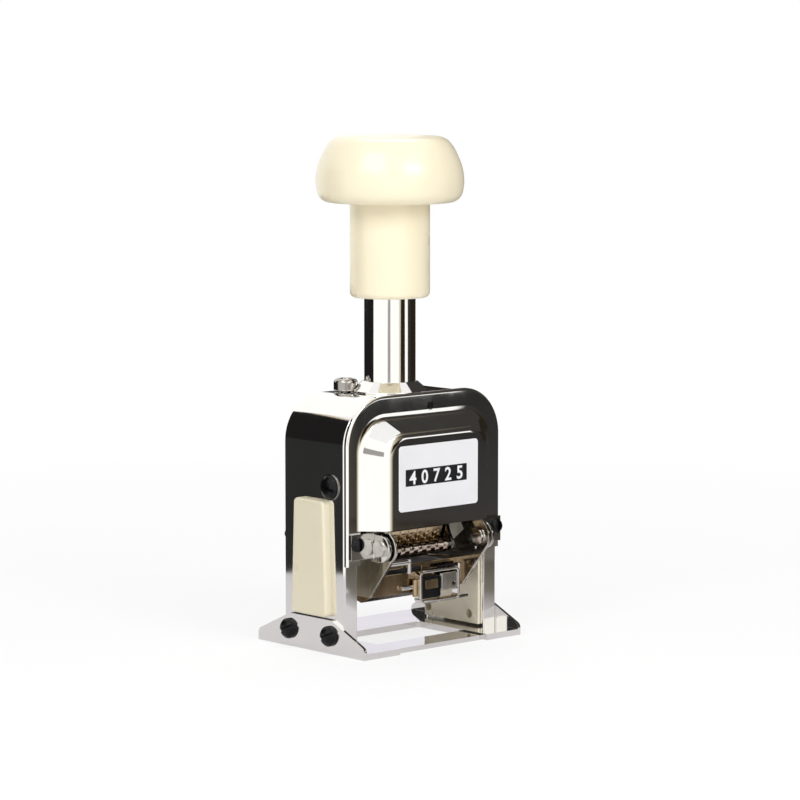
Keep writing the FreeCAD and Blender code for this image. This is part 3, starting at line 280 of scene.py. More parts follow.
# Chrome-slot nodes inside the frame get the darker copies, whose darkness is painted shade
NODE_FINISHES = {"guide_plate_left": GUIDE_PLATE, "guide_plate_right": GUIDE_PLATE,
                 "pivot_lug_left": LUG_PLATE, "pivot_lug_right": LUG_PLATE, "ink_arm_left": ARM_PLATE,
                 "ink_arm_right": ARM_PLATE, "carriage_yoke": SHADE_DARKENED_STEEL, "rocker_plate_left": SHADE_DARKENED_STEEL,
                 "rocker_plate_right": SHADE_DARKENED_STEEL, "ink_tray": TRAY_REFLECTION_TONE, "side_pad_left": PAD_CREAM,
                 "side_pad_right": PAD_CREAM, "feed_pawls": PAWL_BRONZE, "guide_spacers": GUIDE_PLATE,
                 "side_washers": SHADE_DARKENED_STEEL}


# Mesh building
SHARP_ANGLE = 38.0


def rounded(corners, closed=False, steps=8):
    """Points of an outline whose (a, b, radius) corners are drawn as arcs."""
    spots = [Vector((a, b)) for a, b, _ in corners]
    count = len(corners)
    points = []
    for index, (a, b, radius) in enumerate(corners):
        here = spots[index]
        if not radius or (not closed and index in (0, count - 1)):
            points.append((a, b))
            continue
        back = (spots[index - 1] - here).normalized()
        onward = (spots[(index + 1) % count] - here).normalized()
        half = back.angle(onward) / 2
        reach = min(radius / math.tan(half), 0.49 * min((spots[index - 1] - here).length,
                                                         (spots[(index + 1) % count] - here).length))
        radius = reach * math.tan(half)
        centre = here + (back + onward).normalized() * (radius / math.sin(half))
        start, end = here + back * reach - centre, here + onward * reach - centre
        sweep = start.angle_signed(end)
        for step in range(steps + 1):
            turned = start.copy()
            turned.rotate(Matrix.Rotation(-sweep * step / steps, 2))
            points.append((centre.x + turned.x, centre.y + turned.y))
    return points


def make_piece(name, mesh, material, sharp=SHARP_ANGLE):
    """A linked object with smooth faces, broken only at sharp edges."""
    data = bpy.data.meshes.new(name)
    bmesh.ops.recalc_face_normals(mesh, faces=mesh.faces)
    mesh.to_mesh(data)
    mesh.free()
    data.materials.append(material)
    data.shade_smooth()
    data.set_sharp_from_angle(angle=math.radians(sharp))
    piece = bpy.data.objects.new(name, data)
    scene.collection.objects.link(piece)
    return piece


def even_normals(piece):
    normals = piece.modifiers.new("normals", "WEIGHTED_NORMAL")
    normals.keep_sharp = True


def settle(piece, body, slot, *replaced):
    """Carry a piece on its body, even out its normals and hide the CAD nodes that it replaces."""
    even_normals(piece)
    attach(piece, body)
    if replaced:
        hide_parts(*replaced)


def bake_modifiers(piece):
    """Turn a piece's modifiers into its mesh."""
    graph = bpy.context.evaluated_depsgraph_get()
    data = bpy.data.meshes.new_from_object(piece.evaluated_get(graph))
    piece.modifiers.clear()
    piece.data = data


def turned(outline, matrix=None, segments=96):
    """A closed outline of (radius, height) points turned about its own Z."""
    mesh = bmesh.new()
    rings = []
    for radius, height in outline:
        count = 1 if radius < TINY else segments
        rings.append([mesh.verts.new((radius * math.cos(2 * math.pi * k / count),
                                      radius * math.sin(2 * math.pi * k / count), height))
                      for k in range(count)])
    for lower, upper in zip(rings, rings[1:] + rings[:1]):
        if len(lower) == 1 and len(upper) == 1:
            continue
        for k in range(segments):
            after = (k + 1) % segments
            if len(lower) == 1:
                mesh.faces.new((lower[0], upper[k], upper[after]))
            elif len(upper) == 1:
                mesh.faces.new((lower[k], lower[after], upper[0]))
            else:
                mesh.faces.new((lower[k], lower[after], upper[after], upper[k]))
    if matrix:
        bmesh.ops.transform(mesh, matrix=matrix, verts=mesh.verts)
    return mesh


def rod(start, end, radius, edge, segments=40):
    """A turned rod between two points, with rounded ends."""
    start, end = Vector(start), Vector(end)
    length = (end - start).length
    outline = rounded([(0, 0, 0), (radius, 0, edge), (radius, length, edge), (0, length, 0)], steps=5)
    turn = (end - start).to_track_quat("Z", "Y").to_matrix().to_4x4()
    return turned(outline, Matrix.Translation(start) @ turn, segments)


LEG_STEPS = 10
ARC_STEPS = 20
TOP_STEPS = 16


def arch_points(half_width, foot, top, radius, waist=None):
    """(x, z) points up the left leg, over both shoulders and down the right leg."""
    rise = top - radius
    start, left = foot, []
    if waist is not None:
        start = waist
        left = [(-half_width, foot + (waist - foot) * k / LEG_STEPS) for k in range(LEG_STEPS)]
    left += [(-half_width, start + (rise - start) * k / LEG_STEPS) for k in range(LEG_STEPS)]
    for k in range(ARC_STEPS + 1):
        angle = math.pi / 2 * k / ARC_STEPS
        left.append((-half_width + radius - radius * math.cos(angle), rise + radius * math.sin(angle)))
    inner = half_width - radius
    across = [(-inner + 2 * inner * k / TOP_STEPS, top) for k in range(1, TOP_STEPS)]
    right = [(-x, z) for x, z in reversed(left)]
    return left + across + right


def carve(piece, *cutters):
    """Cut other closed meshes out of a piece."""
    for mesh in cutters:
        cutter = make_piece("cutter", mesh, CHROME)
        boolean = piece.modifiers.new("carve", "BOOLEAN")
        boolean.operation = "DIFFERENCE"
        boolean.solver = "EXACT"
        boolean.object = cutter
        bpy.context.view_layer.update()
        bake_modifiers(piece)
        bpy.data.objects.remove(cutter)
    piece.data.shade_smooth()
    piece.data.set_sharp_from_angle(angle=math.radians(SHARP_ANGLE))


def slab(low, high):
    """A cutter with square corners."""
    mesh = bmesh.new()
    size = Vector(high) - Vector(low)
    bmesh.ops.create_cube(mesh, size=1, matrix=Matrix.Translation((Vector(low) + Vector(high)) / 2)
                          @ Matrix.Diagonal((*size, 1)))
    return mesh


# Outer frame
SHEET_ROUND = 0.7 * MM
SHEET_INNER_ROUND = 0.35 * MM
SHEET_BACK_ROUND = 0.2 * MM
FRAME_SHOULDER = 15 * MM
FLANGE_DEPTH = 5.6 * MM
FRAME_SHEET = 1.6 * MM
BUSH_HOLE = 10 * MM
LOCK_HOLE = 1.65 * MM


def build_outer_frame():
    low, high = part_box("outer_frame")
    back, front = high.y, low.y
    section = rounded([
        (0, front, SHEET_ROUND), (0, back, SHEET_BACK_ROUND), (FLANGE_DEPTH, back, SHEET_INNER_ROUND),
        (FLANGE_DEPTH, back - FRAME_SHEET, SHEET_INNER_ROUND),
        (FRAME_SHEET, back - FRAME_SHEET, SHEET_INNER_ROUND),
        (FRAME_SHEET, front + FRAME_SHEET, SHEET_INNER_ROUND),
        (FLANGE_DEPTH, front + FRAME_SHEET, SHEET_INNER_ROUND), (FLANGE_DEPTH, front, SHEET_INNER_ROUND)],
        closed=True, steps=5)
    mesh = bmesh.new()
    strips = []
    for inset, y in section:
        path = arch_points(high.x - inset, low.z, high.z - inset, FRAME_SHOULDER - inset)
        strips.append([mesh.verts.new((x, y, z)) for x, z in path])
    for strip, following in zip(strips, strips[1:] + strips[:1]):
        for k in range(len(strip) - 1):
            mesh.faces.new((strip[k], strip[k + 1], following[k + 1], following[k]))
    for end in (0, -1):
        mesh.faces.new([strip[end] for strip in strips])
    piece = make_piece("frame_shell", mesh, CHROME)
    lock_low, lock_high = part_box("lock_knob")
    lock_middle = (lock_low + lock_high) / 2
    below, above = high.z - FRAME_SHEET * 2, high.z + FRAME_SHEET
    carve(piece, rod((0, 0, below), (0, 0, above), BUSH_HOLE, 0, 96),
          rod((lock_middle.x, lock_middle.y, below), (lock_middle.x, lock_middle.y, above), LOCK_HOLE, 0))
    settle(piece, "frame", "chrome", "outer_frame")


# Front cover
COVER_SHEET = 1.0 * MM
COVER_EDGE_ROUND = 0.72 * MM
DISH_FOOT_ROUND = 3.4 * MM
DISH_FACE_ROUND = 4.8 * MM
DISH_FOOT = {"half_width": 28.6 * MM, "top": 75.8 * MM, "radius": 11 * MM}
DISH_FACE = {"half_width": 22 * MM, "top": 71 * MM, "radius": 7.5 * MM}
DISH_BOTTOM = 40.3 * MM
COVER_RIM = 1.5 * MM
COVER_SHOULDER = 16 * MM
CATCH_HOLE = (2.4 * MM, 78.8 * MM)
CATCH_RADIUS = 1.4 * MM
SHADE_STEM_SHARE = 0.9
SHADE_STEM_INSET = 0.5 * MM
SHADE_STEM_ROUND = 0.6 * MM
DISH_SHARP_ANGLE = 60


def build_front_cover():
    low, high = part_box("front_cover")
    face = low.y
    back = high.y
    rim = back - COVER_RIM
    outer = {"half_width": high.x, "top": high.z, "radius": COVER_SHOULDER}
    stations = [outer, DISH_FOOT, DISH_FACE]
    reaches = [high.x - station["half_width"] for station in stations]

    def arch_at(reach):
        """The outline at a distance in from the cover's edge, between the three known outlines."""
        index = 0 if reach <= reaches[1] else 1
        share = (reach - reaches[index]) / (reaches[index + 1] - reaches[index])
        one, other = stations[index], stations[index + 1]
        return [one[key] + (other[key] - one[key]) * share for key in ("half_width", "top", "radius")]

    flat = reaches[2] + DISH_FACE_ROUND
    profile = rounded([(0, back, 0), (0, rim, COVER_EDGE_ROUND), (reaches[1], rim, DISH_FOOT_ROUND),
                       (reaches[2], face, DISH_FACE_ROUND), (flat, face, 0)], steps=12)
    mesh = bmesh.new()
    rings = []
    for reach, y in profile:
        half_width, top, radius = arch_at(reach)
        path = arch_points(half_width, low.z, top, max(radius, MM), waist=DISH_BOTTOM)
        on_rim = y >= rim - TINY and reach < reaches[1]
        ring = []
        for k, (x, z) in enumerate(path):
            in_leg = k < LEG_STEPS or k >= len(path) - LEG_STEPS
            ring.append(None if in_leg and not on_rim else mesh.verts.new((x, y, z)))
        rings.append(ring)
    for ring, following in zip(rings, rings[1:]):
        for k in range(len(ring) - 1):
            corners = (ring[k], ring[k + 1], following[k + 1], following[k])
            if None not in corners:
                mesh.faces.new(corners)
    mesh.faces.new([vert for vert in rings[-1] if vert])
    leg_edge = [ring for ring in rings if ring[0]][-1]
    inside = -(high.x - FLANGE_DEPTH)
    for side in (1, -1):
        column = leg_edge[:LEG_STEPS + 1] if side > 0 else leg_edge[::-1][:LEG_STEPS + 1]
        inner = [mesh.verts.new((inside * side, rim, vert.co.z)) for vert in column]
        for k in range(LEG_STEPS):
            mesh.faces.new((column[k], column[k + 1], inner[k + 1], inner[k]))
    piece = make_piece("cover_pressing", mesh, CHROME, DISH_SHARP_ANGLE)
    solid = piece.modifiers.new("sheet", "SOLIDIFY")
    solid.thickness = COVER_SHEET
    solid.offset = -1
    solid.use_even_offset = True
    bpy.context.view_layer.update()
    bake_modifiers(piece)
    x, z = CATCH_HOLE
    carve(piece, rod((x, rim - MM, z), (x, back + 2 * MM, z), CATCH_RADIUS, 0))
    settle(piece, "frame", "chrome", "front_cover")
    # A black stem set back in the catch hole: a dark piece that paints the hole's shade
    stem = rod((x, back, z), (x, rim + SHADE_STEM_INSET, z), CATCH_RADIUS * SHADE_STEM_SHARE, SHADE_STEM_ROUND)
    settle(make_piece("catch_hole_shade_stem", stem, BLACK), "frame", "black_oxide")


# Label with its band of digits
LABEL_DIGITS = "40725"
LABEL_ROUND = 1.2 * MM
LABEL_BEVEL = 0.22 * MM
BAND_SIZE = (27.2 * MM, 5.5 * MM)
BAND_MIDDLE = (-1.2 * MM, 56.9 * MM)
BAND_LIFT = 0.03 * MM
BAND_ROUND = 0.15 * MM
DIGIT_HEIGHT = 4.3 * MM
DIGIT_WEIGHT = 0.13 * MM
DIGIT_PITCH = 5.2 * MM
DIGIT_LIFT = 0.05 * MM
FIGURE_SHARE = 0.72


def rounded_rectangle(width, height, radius, steps=8):
    half_w, half_h = width / 2, height / 2
    return rounded([(-half_w, -half_h, radius), (half_w, -half_h, radius), (half_w, half_h, radius),
                    (-half_w, half_h, radius)], closed=True, steps=steps)


def plate(name, width, height, radius, thickness, bevel, matrix, material, steps=6):
    """A rounded plate with a rounded front edge, in its own X, Y and Z, then set by matrix."""
    mesh = bmesh.new()
    levels = [(0.0, 0.0)]
    for k in range(steps + 1):
        angle = math.pi / 2 * k / steps
        levels.append((bevel * (1 - math.cos(angle)), thickness - bevel + bevel * math.sin(angle)))
    rings = []
    for inset, level in levels:
        outline = rounded_rectangle(width - inset * 2, height - inset * 2, radius - inset)
        rings.append([mesh.verts.new(matrix @ Vector((x, y, level))) for x, y in outline])
    for ring, following in zip(rings, rings[1:]):
        for k in range(len(ring)):
            after = (k + 1) % len(ring)
            mesh.faces.new((ring[k], ring[after], following[after], following[k]))
    mesh.faces.new(rings[0])
    mesh.faces.new(rings[-1])
    return make_piece(name, mesh, material)


def digit_mesh(text, height, depth, bevel=0.0, mirrored=False, weight=0.0):
    """A raised figure, centred, with its face towards +Z and its foot at zero."""
    curve = bpy.data.curves.new("figure", "FONT")
    curve.body = text
    curve.align_x = "CENTER"
    curve.extrude = depth / 2
    curve.bevel_depth = bevel
    curve.bevel_resolution = 1
    curve.offset = weight
    curve.resolution_u = 5
    curve.size = height / FIGURE_SHARE
    holder = bpy.data.objects.new("figure", curve)
    scene.collection.objects.link(holder)
    bpy.context.view_layer.update()
    data = bpy.data.meshes.new_from_object(holder.evaluated_get(bpy.context.evaluated_depsgraph_get()))
    bpy.data.objects.remove(holder)
    bpy.data.curves.remove(curve)
    mesh = bmesh.new()
    mesh.from_mesh(data)
    bpy.data.meshes.remove(data)
    bmesh.ops.remove_doubles(mesh, verts=mesh.verts, dist=TINY)
    tall = [vert.co.y for vert in mesh.verts]
    shift = Vector((0, -(min(tall) + max(tall)) / 2, depth / 2))
    bmesh.ops.translate(mesh, verts=mesh.verts, vec=shift)
    if mirrored:
        bmesh.ops.scale(mesh, verts=mesh.verts, vec=(-1, 1, 1))
        bmesh.ops.reverse_faces(mesh, faces=mesh.faces)
    return mesh


def joined(name, parts, material):
    """One piece from several (bmesh, matrix) parts."""
    whole = bmesh.new()
    for part, matrix in parts:
        bmesh.ops.transform(part, matrix=matrix, verts=part.verts)
        data = bpy.data.meshes.new("part")
        part.to_mesh(data)
        part.free()
        whole.from_mesh(data)
        bpy.data.meshes.remove(data)
    return make_piece(name, whole, material)


def facing_front(x, y, z):
    """Sets a plate's own Z towards the operator."""
    return Matrix.Translation((x, y, z)) @ Matrix.Rotation(math.pi / 2, 4, "X")


def build_label():
    low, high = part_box("label_plate")
    size = high - low
    middle = (low + high) / 2
    card = plate("label_card", size.x, size.z, LABEL_ROUND, size.y, LABEL_BEVEL,
                 facing_front(middle.x, high.y, middle.z), CARD)
    settle(card, "frame", "label_white", "label_plate")
    face = low.y
    band = plate("label_band", *BAND_SIZE, BAND_ROUND, BAND_LIFT, BAND_LIFT / 3,
                 facing_front(BAND_MIDDLE[0], face, BAND_MIDDLE[1]), BAND_INK, steps=2)
    settle(band, "frame", "label_white")
    parts = []
    for index, digit in enumerate(LABEL_DIGITS):
        x = BAND_MIDDLE[0] + DIGIT_PITCH * (index - (len(LABEL_DIGITS) - 1) / 2)
        parts.append((digit_mesh(digit, DIGIT_HEIGHT, DIGIT_LIFT - BAND_LIFT, weight=DIGIT_WEIGHT),
                      facing_front(x, face - BAND_LIFT, BAND_MIDDLE[1])))
    settle(joined("label_digits", parts, DIGIT_INK), "frame", "label_white")


# Handle: the knob's side as (radius, height) in millimetres, from its underside to its top
KNOB_SIDE = [(17.5, 0.0), (20.0, 0.05), (21.8, 0.55), (23.2, 1.7), (24.0, 3.4), (24.42, 6.0), (24.42, 8.2),
             (24.1, 10.6), (23.4, 13.0), (22.4, 15.4), (21.4, 17.5), (20.1, 19.4), (18.6, 20.8), (16.6, 21.6),
             (13.5, 21.86), (8.0, 21.9), (0.0, 21.9)]
BORE_CLEARANCE = 0.05 * MM
SLEEVE_BORE_ROUND = 0.3 * MM
SLEEVE_FOOT_ROUND = 1.8 * MM
SLEEVE_TOP_ROUND = 0.2 * MM


def smooth_through(points, steps=5):
    """A smooth line through (a, b) points."""
    line = []
    for index in range(len(points) - 1):
        spots = [Vector(points[min(max(index + k, 0), len(points) - 1)]) for k in (-1, 0, 1, 2)]
        for step in range(steps):
            t = step / steps
            weights = (-t ** 3 + 2 * t ** 2 - t, 3 * t ** 3 - 5 * t ** 2 + 2,
                       -3 * t ** 3 + 4 * t ** 2 + t, t ** 3 - t ** 2)
            spot = sum((spot * weight for spot, weight in zip(spots, weights)), Vector((0, 0))) / 2
            line.append((spot.x, spot.y))
    return line + [points[-1]]


def build_handle():
    low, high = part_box("handle_knob")
    cap_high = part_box("tube_cap")[1]
    bore = cap_high.x + BORE_CLEARANCE
    outline = [(bore, low.z)]
    outline += [(r * MM, min(low.z + z * MM, high.z)) for r, z in smooth_through(KNOB_SIDE)]
    outline += [(0.0, cap_high.z), (bore, cap_high.z)]
    knob = make_piece("knob_moulding", turned(outline, segments=144), CREAM)
    settle(knob, "plunger", "cream_plastic", "handle_knob")
    low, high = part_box("handle_sleeve")
    outline = rounded([(bore, low.z, SLEEVE_BORE_ROUND), (high.x, low.z, SLEEVE_FOOT_ROUND),
                       (high.x, high.z, SLEEVE_TOP_ROUND), (bore, high.z, SLEEVE_TOP_ROUND)],
                      closed=True, steps=10)
    sleeve = make_piece("sleeve_moulding", turned(outline, segments=128), CREAM)
    settle(sleeve, "plunger", "cream_plastic", "handle_sleeve")


# Main spring
SPRING_PITCH = 6 * MM
SPRING_WIRE_RADIUS = 0.6 * MM
SPRING_TURN_STEPS = 36
SPRING_WIRE_STEPS = 12


def build_main_spring():
    low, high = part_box("main_spring")
    foot, top = low.z + SPRING_WIRE_RADIUS, high.z - SPRING_WIRE_RADIUS
    radius = high.x - SPRING_WIRE_RADIUS
    turns = (top - foot) / SPRING_PITCH
    steps = round(turns * SPRING_TURN_STEPS)
    mesh = bmesh.new()
    rings = []
    climb = SPRING_PITCH / (2 * math.pi * radius)
    for k in range(steps + 1):
        angle = 2 * math.pi * turns * k / steps
        outward = Vector((math.cos(angle), math.sin(angle), 0))
        along = Vector((-math.sin(angle), math.cos(angle), climb)).normalized()
        across = along.cross(outward)
        centre = outward * radius + Vector((0, 0, foot + (top - foot) * k / steps))
        ring = []
        for part in range(SPRING_WIRE_STEPS):
            turn = 2 * math.pi * part / SPRING_WIRE_STEPS
            spoke = outward * math.cos(turn) + across * math.sin(turn)
            ring.append(mesh.verts.new(centre + spoke * SPRING_WIRE_RADIUS))
        rings.append(ring)
    for ring, following in zip(rings, rings[1:]):
        for k in range(SPRING_WIRE_STEPS):
            after = (k + 1) % SPRING_WIRE_STEPS
            mesh.faces.new((ring[k], ring[after], following[after], following[k]))
    mesh.faces.new(rings[0])
    mesh.faces.new(rings[-1])
    piece = make_piece("spring_coil", mesh, WIRE)
    settle(piece, "frame", "spring_steel", "main_spring")
    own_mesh(piece)


# Collar and lock knob
COLLAR_BORE = 8.6 * MM
COLLAR_CLEARANCE = 0.3 * MM
LOCK_STEM = 1.6 * MM
LOCK_DISH_DEPTH = 0.8 * MM
LOCK_SLOT_WIDTH = 1.0 * MM
LOCK_SLOT_DEPTH = 1.6 * MM


def build_collar():
    low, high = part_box("top_collar")
    bore, rim = COLLAR_BORE, high.x
    lock_low, lock_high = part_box("lock_knob")
    lock = (lock_low + lock_high) / 2
    outline = rounded([(bore, low.z, 0), (rim, low.z, 0.1 * MM), (rim, low.z + 0.5 * MM, 0.3 * MM),
                       (bore + 0.4 * MM, high.z, 0.22 * MM), (bore, high.z, 0.1 * MM)], closed=True, steps=6)
    collar = make_piece("collar_flare", turned(outline, segments=144), CHROME)
    radius = (lock_high.x - lock_low.x) / 2
    carve(collar, rod((lock.x, lock.y, low.z - MM), (lock.x, lock.y, high.z + MM),
                      radius + COLLAR_CLEARANCE, 0, 96))
    settle(collar, "frame", "chrome", "top_collar")
    top, foot = lock_high.z, low.z + 0.3 * MM
    dish = top - LOCK_DISH_DEPTH
    outline = rounded([(0, lock_low.z, 0), (LOCK_STEM, lock_low.z, 0.2 * MM), (LOCK_STEM, foot, 0.1 * MM),
                       (radius, foot, 0.5 * MM), (radius, top - 0.6 * MM, 1.6 * MM),
                       (2.1 * MM, top, 0.5 * MM), (1.7 * MM, dish, 0.4 * MM), (0, dish, 0)], steps=10)
    knob = make_piece("lock_knob_turned", turned(outline, Matrix.Translation((lock.x, lock.y, 0)), 96),
                      LOCK_PLATE)
    half = LOCK_SLOT_WIDTH / 2
    carve(knob, slab((lock.x - half, lock.y - radius * 1.2, top - LOCK_SLOT_DEPTH),
                     (lock.x + half, lock.y + radius * 1.2, top + MM)))
    settle(knob, "lock", "chrome", "lock_knob")


# Domed screw heads
HEAD_SLOT_WIDTH = 1.1 * MM
BASE_HEADS = {"dome": 1.6 * MM, "slot_depth": 1.7 * MM, "slot_turn": -66}
SIDE_HEADS = {"dome": 1.1 * MM, "slot_depth": 0.7 * MM, "slot_turn": 74}


def screw_head(middle, side, radius, height, dome, slot_depth, slot_turn):
    """One slotted head, seated at middle, that stands out to the left (-1) or right (1) side."""
    outline = rounded([(0, -0.4 * MM, 0), (radius * 0.7, -0.4 * MM, 0), (radius, 0, 0.15 * MM),
                       (radius, height - dome, 0.8 * MM), (radius * 0.66, height - dome * 0.08, 2.6 * MM),
                       (0, height, 0)], steps=6)
    turn = Vector((side, 0, 0)).to_track_quat("Z", "Y").to_matrix().to_4x4()
    head = make_piece("head", turned(outline, segments=72), BLACK)
    half = HEAD_SLOT_WIDTH / 2
    cutter = slab((-half, -radius * 1.2, height - slot_depth), (half, radius * 1.2, height + MM))
    bmesh.ops.rotate(cutter, verts=cutter.verts, matrix=Matrix.Rotation(math.radians(slot_turn), 3, "Z"))
    carve(head, cutter)
    mesh = bmesh.new()
    mesh.from_mesh(head.data)
    bpy.data.objects.remove(head)
    return mesh, Matrix.Translation(middle) @ turn


def build_side_heads():
    """Heads of the base and side screws, over the CAD shanks that they replace."""
    base_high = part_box("base_plate")[1]
    low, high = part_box("base_screws")
    radius = (high.z - low.z) / 2
    heads, height = [], high.x - base_high.x
    for side in (-1, 1):
        for y in (low.y + radius, high.y - radius):
            middle = (base_high.x * side, y, low.z + radius)
            heads.append(screw_head(middle, side, radius, height, **BASE_HEADS))
    settle(joined("base_screw_heads", heads, BLACK), "frame", "black_oxide", "base_screws")
    low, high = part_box("side_screws")
    washer_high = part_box("side_washers")[1]
    radius = (high.z - low.z) / 2
    heads, height = [], high.x - washer_high.x
    for side in (-1, 1):
        middle = (washer_high.x * side, low.y + radius, low.z + radius)
        heads.append(screw_head(middle, side, radius, height, **SIDE_HEADS))
    settle(joined("side_screw_heads", heads, BLACK), "frame", "black_oxide", "side_screws")


# Number wheels
WHEEL_DIGIT_HEIGHT = 4.6 * MM
WHEEL_DIGIT_RELIEF = 0.24 * MM
WHEEL_DIGIT_BEVEL = 0.06 * MM
DIGITS = "0123456789"


def build_wheel_digits():
    for index in range(7):
        low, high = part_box(f"number_wheel_{index + 1}")
        middle = (low + high) / 2
        face_radius = (high.z - low.z) / 2
        parts = []
        for place, digit in enumerate(DIGITS):
            turn = Matrix.Rotation(2 * math.pi * place / len(DIGITS), 4, "X")
            stand = Matrix.Translation((0, 0, -face_radius)) @ Matrix.Rotation(math.pi, 4, "X")
            figure = digit_mesh(digit, WHEEL_DIGIT_HEIGHT, WHEEL_DIGIT_RELIEF, WHEEL_DIGIT_BEVEL,
                                mirrored=True)
            parts.append((figure, Matrix.Translation(middle) @ turn @ stand))
        settle(joined(f"wheel_{index + 1}_figures", parts, BRASS), f"wheel_{index + 1}", "brass")


# Ink pad
def build_ink_pad():
    low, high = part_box("ink_pad")
    size = high - low
    mesh = bmesh.new()
    bmesh.ops.create_grid(mesh, x_segments=48, y_segments=18, size=0.5)
    top = list(mesh.faces)
    lifted = bmesh.ops.extrude_face_region(mesh, geom=top)
    raised = [item for item in lifted["geom"] if isinstance(item, bmesh.types.BMVert)]
    bmesh.ops.translate(mesh, verts=raised, vec=(0, 0, 1))
    for vert in mesh.verts:
        u, v, w = vert.co.x * 2, vert.co.y * 2, vert.co.z
        crown = (1 - u ** 6) * (1 - v ** 4)
        floor = low.z + size.z * (0.18 + 0.2 * (v + 1) / 2)
        ceiling = high.z - (1 - crown) * 0.7 * MM
        pull = 0.12 * MM * math.sin(u * 21) * math.cos(v * 9) * crown
        vert.co = (low.x + size.x * (vert.co.x + 0.5), low.y + size.y * (vert.co.y + 0.5),
                   floor + (ceiling - abs(pull) - floor) * w)
    piece = make_piece("ink_felt_pad", mesh, FELT)
    settle(piece, "ink_arm", "ink_felt", "ink_pad")


# Small parts on the front of the ink tray: ends as (x, y from the wall, z), radius and edge in millimetres
TRAY_RODS = {
    "bracket_flange": ((8.9, -1.7, 16.9), (8.9, -1.7, 22.3), 0.42, 0.2, STEEL),
    "tray_cross_pin": ((7.4, -1.8, 24.75), (17.6, -1.8, 24.75), 0.5, 0.2, BLACK),
    "tray_post": ((16.4, -2.4, 20.2), (16.4, -2.4, 25.2), 0.5, 0.25, STEEL),
    "tray_roller": ((-8.0, -0.8, 18.9), (-2.6, -0.8, 18.9), 0.78, 0.25, STEEL),
    "tray_lip_bar": ((-19.2, -1.1, 27.5), (-5.2, -1.1, 27.5), 1.0, 0.4, STEEL),
    "tray_lip_tab": ((-5.0, -1.1, 28.6), (-5.0, -1.1, 23.6), 1.0, 0.4, STEEL),
    "tray_spring_pin": ((-2.4, -1.2, 21.4), (-2.4, -1.2, 15.6), 0.8, 0.4, BRASS),
    "clip_tail": ((16.0, -2.2, 13.75), (20.6, -2.2, 13.75), 0.5, 0.3, SHADE_DARKENED_STEEL)}
RIVET_PLACES = ((-24.0, 34.5), (-21.9, 32.4), (-19.8, 30.3))
RIVET_RADIUS = 0.62 * MM
RIVET_ROUND = 0.3 * MM


def build_tray_fittings():
    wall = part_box("pad_clip")[1].y
    block = plate("pad_block", 8.8 * MM, 7.4 * MM, 0.9 * MM, 2.5 * MM, 0.5 * MM,
                  facing_front(3.9 * MM, wall, 18.3 * MM), BLACK)
    settle(block, "ink_arm", "black_oxide")
    panel = plate("pad_block_panel", 5.6 * MM, 3.0 * MM, 0.5 * MM, 0.3 * MM, 0.15 * MM,
                  facing_front(3.9 * MM, wall - 2.45 * MM, 19.4 * MM), TRAY_REFLECTION_TONE)
    settle(panel, "ink_arm", "bright_steel")
    bracket = plate("pad_bracket", 6.8 * MM, 5.6 * MM, 0.8 * MM, 0.6 * MM, 0.2 * MM,
                    facing_front(12.0 * MM, wall - 1.9 * MM, 19.6 * MM), STEEL)
    carve(bracket, rod((14.0 * MM, wall - 4 * MM, 18.6 * MM), (14.0 * MM, wall, 18.6 * MM), 0.75 * MM, 0))
    settle(bracket, "ink_arm", "bright_steel")
    for name, (start, end, radius, edge, finish) in TRAY_RODS.items():
        ends = [(x * MM, wall + y * MM, z * MM) for x, y, z in (start, end)]
        settle(make_piece(name, rod(*ends, radius * MM, edge * MM), finish), "ink_arm",
               "black_oxide" if finish == BLACK else "bright_steel")
    parts = []
    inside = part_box("ink_arm_right")[0].x
    for y, z in RIVET_PLACES:
        start = (inside + 0.1 * MM, y * MM, z * MM)
        end = (inside - 0.3 * MM, y * MM, z * MM)
        parts.append((rod(start, end, RIVET_RADIUS, RIVET_ROUND, 24), Matrix()))
    settle(joined("arm_rivets", parts, STEEL), "ink_arm", "bright_steel")


# Figures round the selector's dial
DIAL_FIGURES = "43210"
DIAL_FIGURE_STEP = 33.0
DIAL_FIGURE_REACH = 7.3 * MM
DIAL_FIGURE_HEIGHT = 2.2 * MM


def build_dial_figures():
    low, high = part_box("dial_plate")
    middle = (low + high) / 2
    parts = []
    for index, figure in enumerate(DIAL_FIGURES):
        angle = math.radians(DIAL_FIGURE_STEP * (index - 2))
        x, z = middle.x + DIAL_FIGURE_REACH * math.sin(angle), middle.z + DIAL_FIGURE_REACH * math.cos(angle)
        facing = Matrix.Translation((x, high.y, z)) @ Matrix.Rotation(math.pi, 4, "Z")
        upright = Matrix.Rotation(math.pi / 2, 4, "X") @ Matrix.Rotation(angle, 4, "Z")
        parts.append((digit_mesh(figure, DIAL_FIGURE_HEIGHT, 0.04 * MM, weight=0.05 * MM), facing @ upright))
    settle(joined("dial_figures", parts, BAND_INK), "frame", "dial_white")


# CAD nodes keep their shape and get their finish, with a soft edge where metal shows
EDGE_SOFTNESS = {"base_plate": 0.55, "base_screws": 0.12, "side_screws": 0.12, "front_cover_screws": 0.1,
                 "back_cover_screws": 0.1, "back_cover": 0.1, "pivot_lug_left": 0.22,
                 "pivot_lug_right": 0.22, "ink_arm_left": 0.2, "ink_arm_right": 0.2, "ink_tray": 0.16,
                 "pad_clip": 0.2,
                 "carriage_yoke": 0.2, "guide_plate_left": 0.15, "side_pad_left": 0.7, "side_pad_right": 0.7,
                 "guide_plate_right": 0.15, "rocker_plate_left": 0.18, "rocker_plate_right": 0.18,
                 "selector_pointer": 0.15, "dial_plate": 0.12, "pivot_pins": 0.14, "wheel_shaft": 0.15,
                 "side_washers": 0.1, "spring_bridge": 0.2, "guide_shoe_left": 0.2, "guide_shoe_right": 0.2,
                 "detent_comb": 0.08, "feed_pawls": 0.06, "drive_pins": 0.12, "plunger_tube": 0.12}


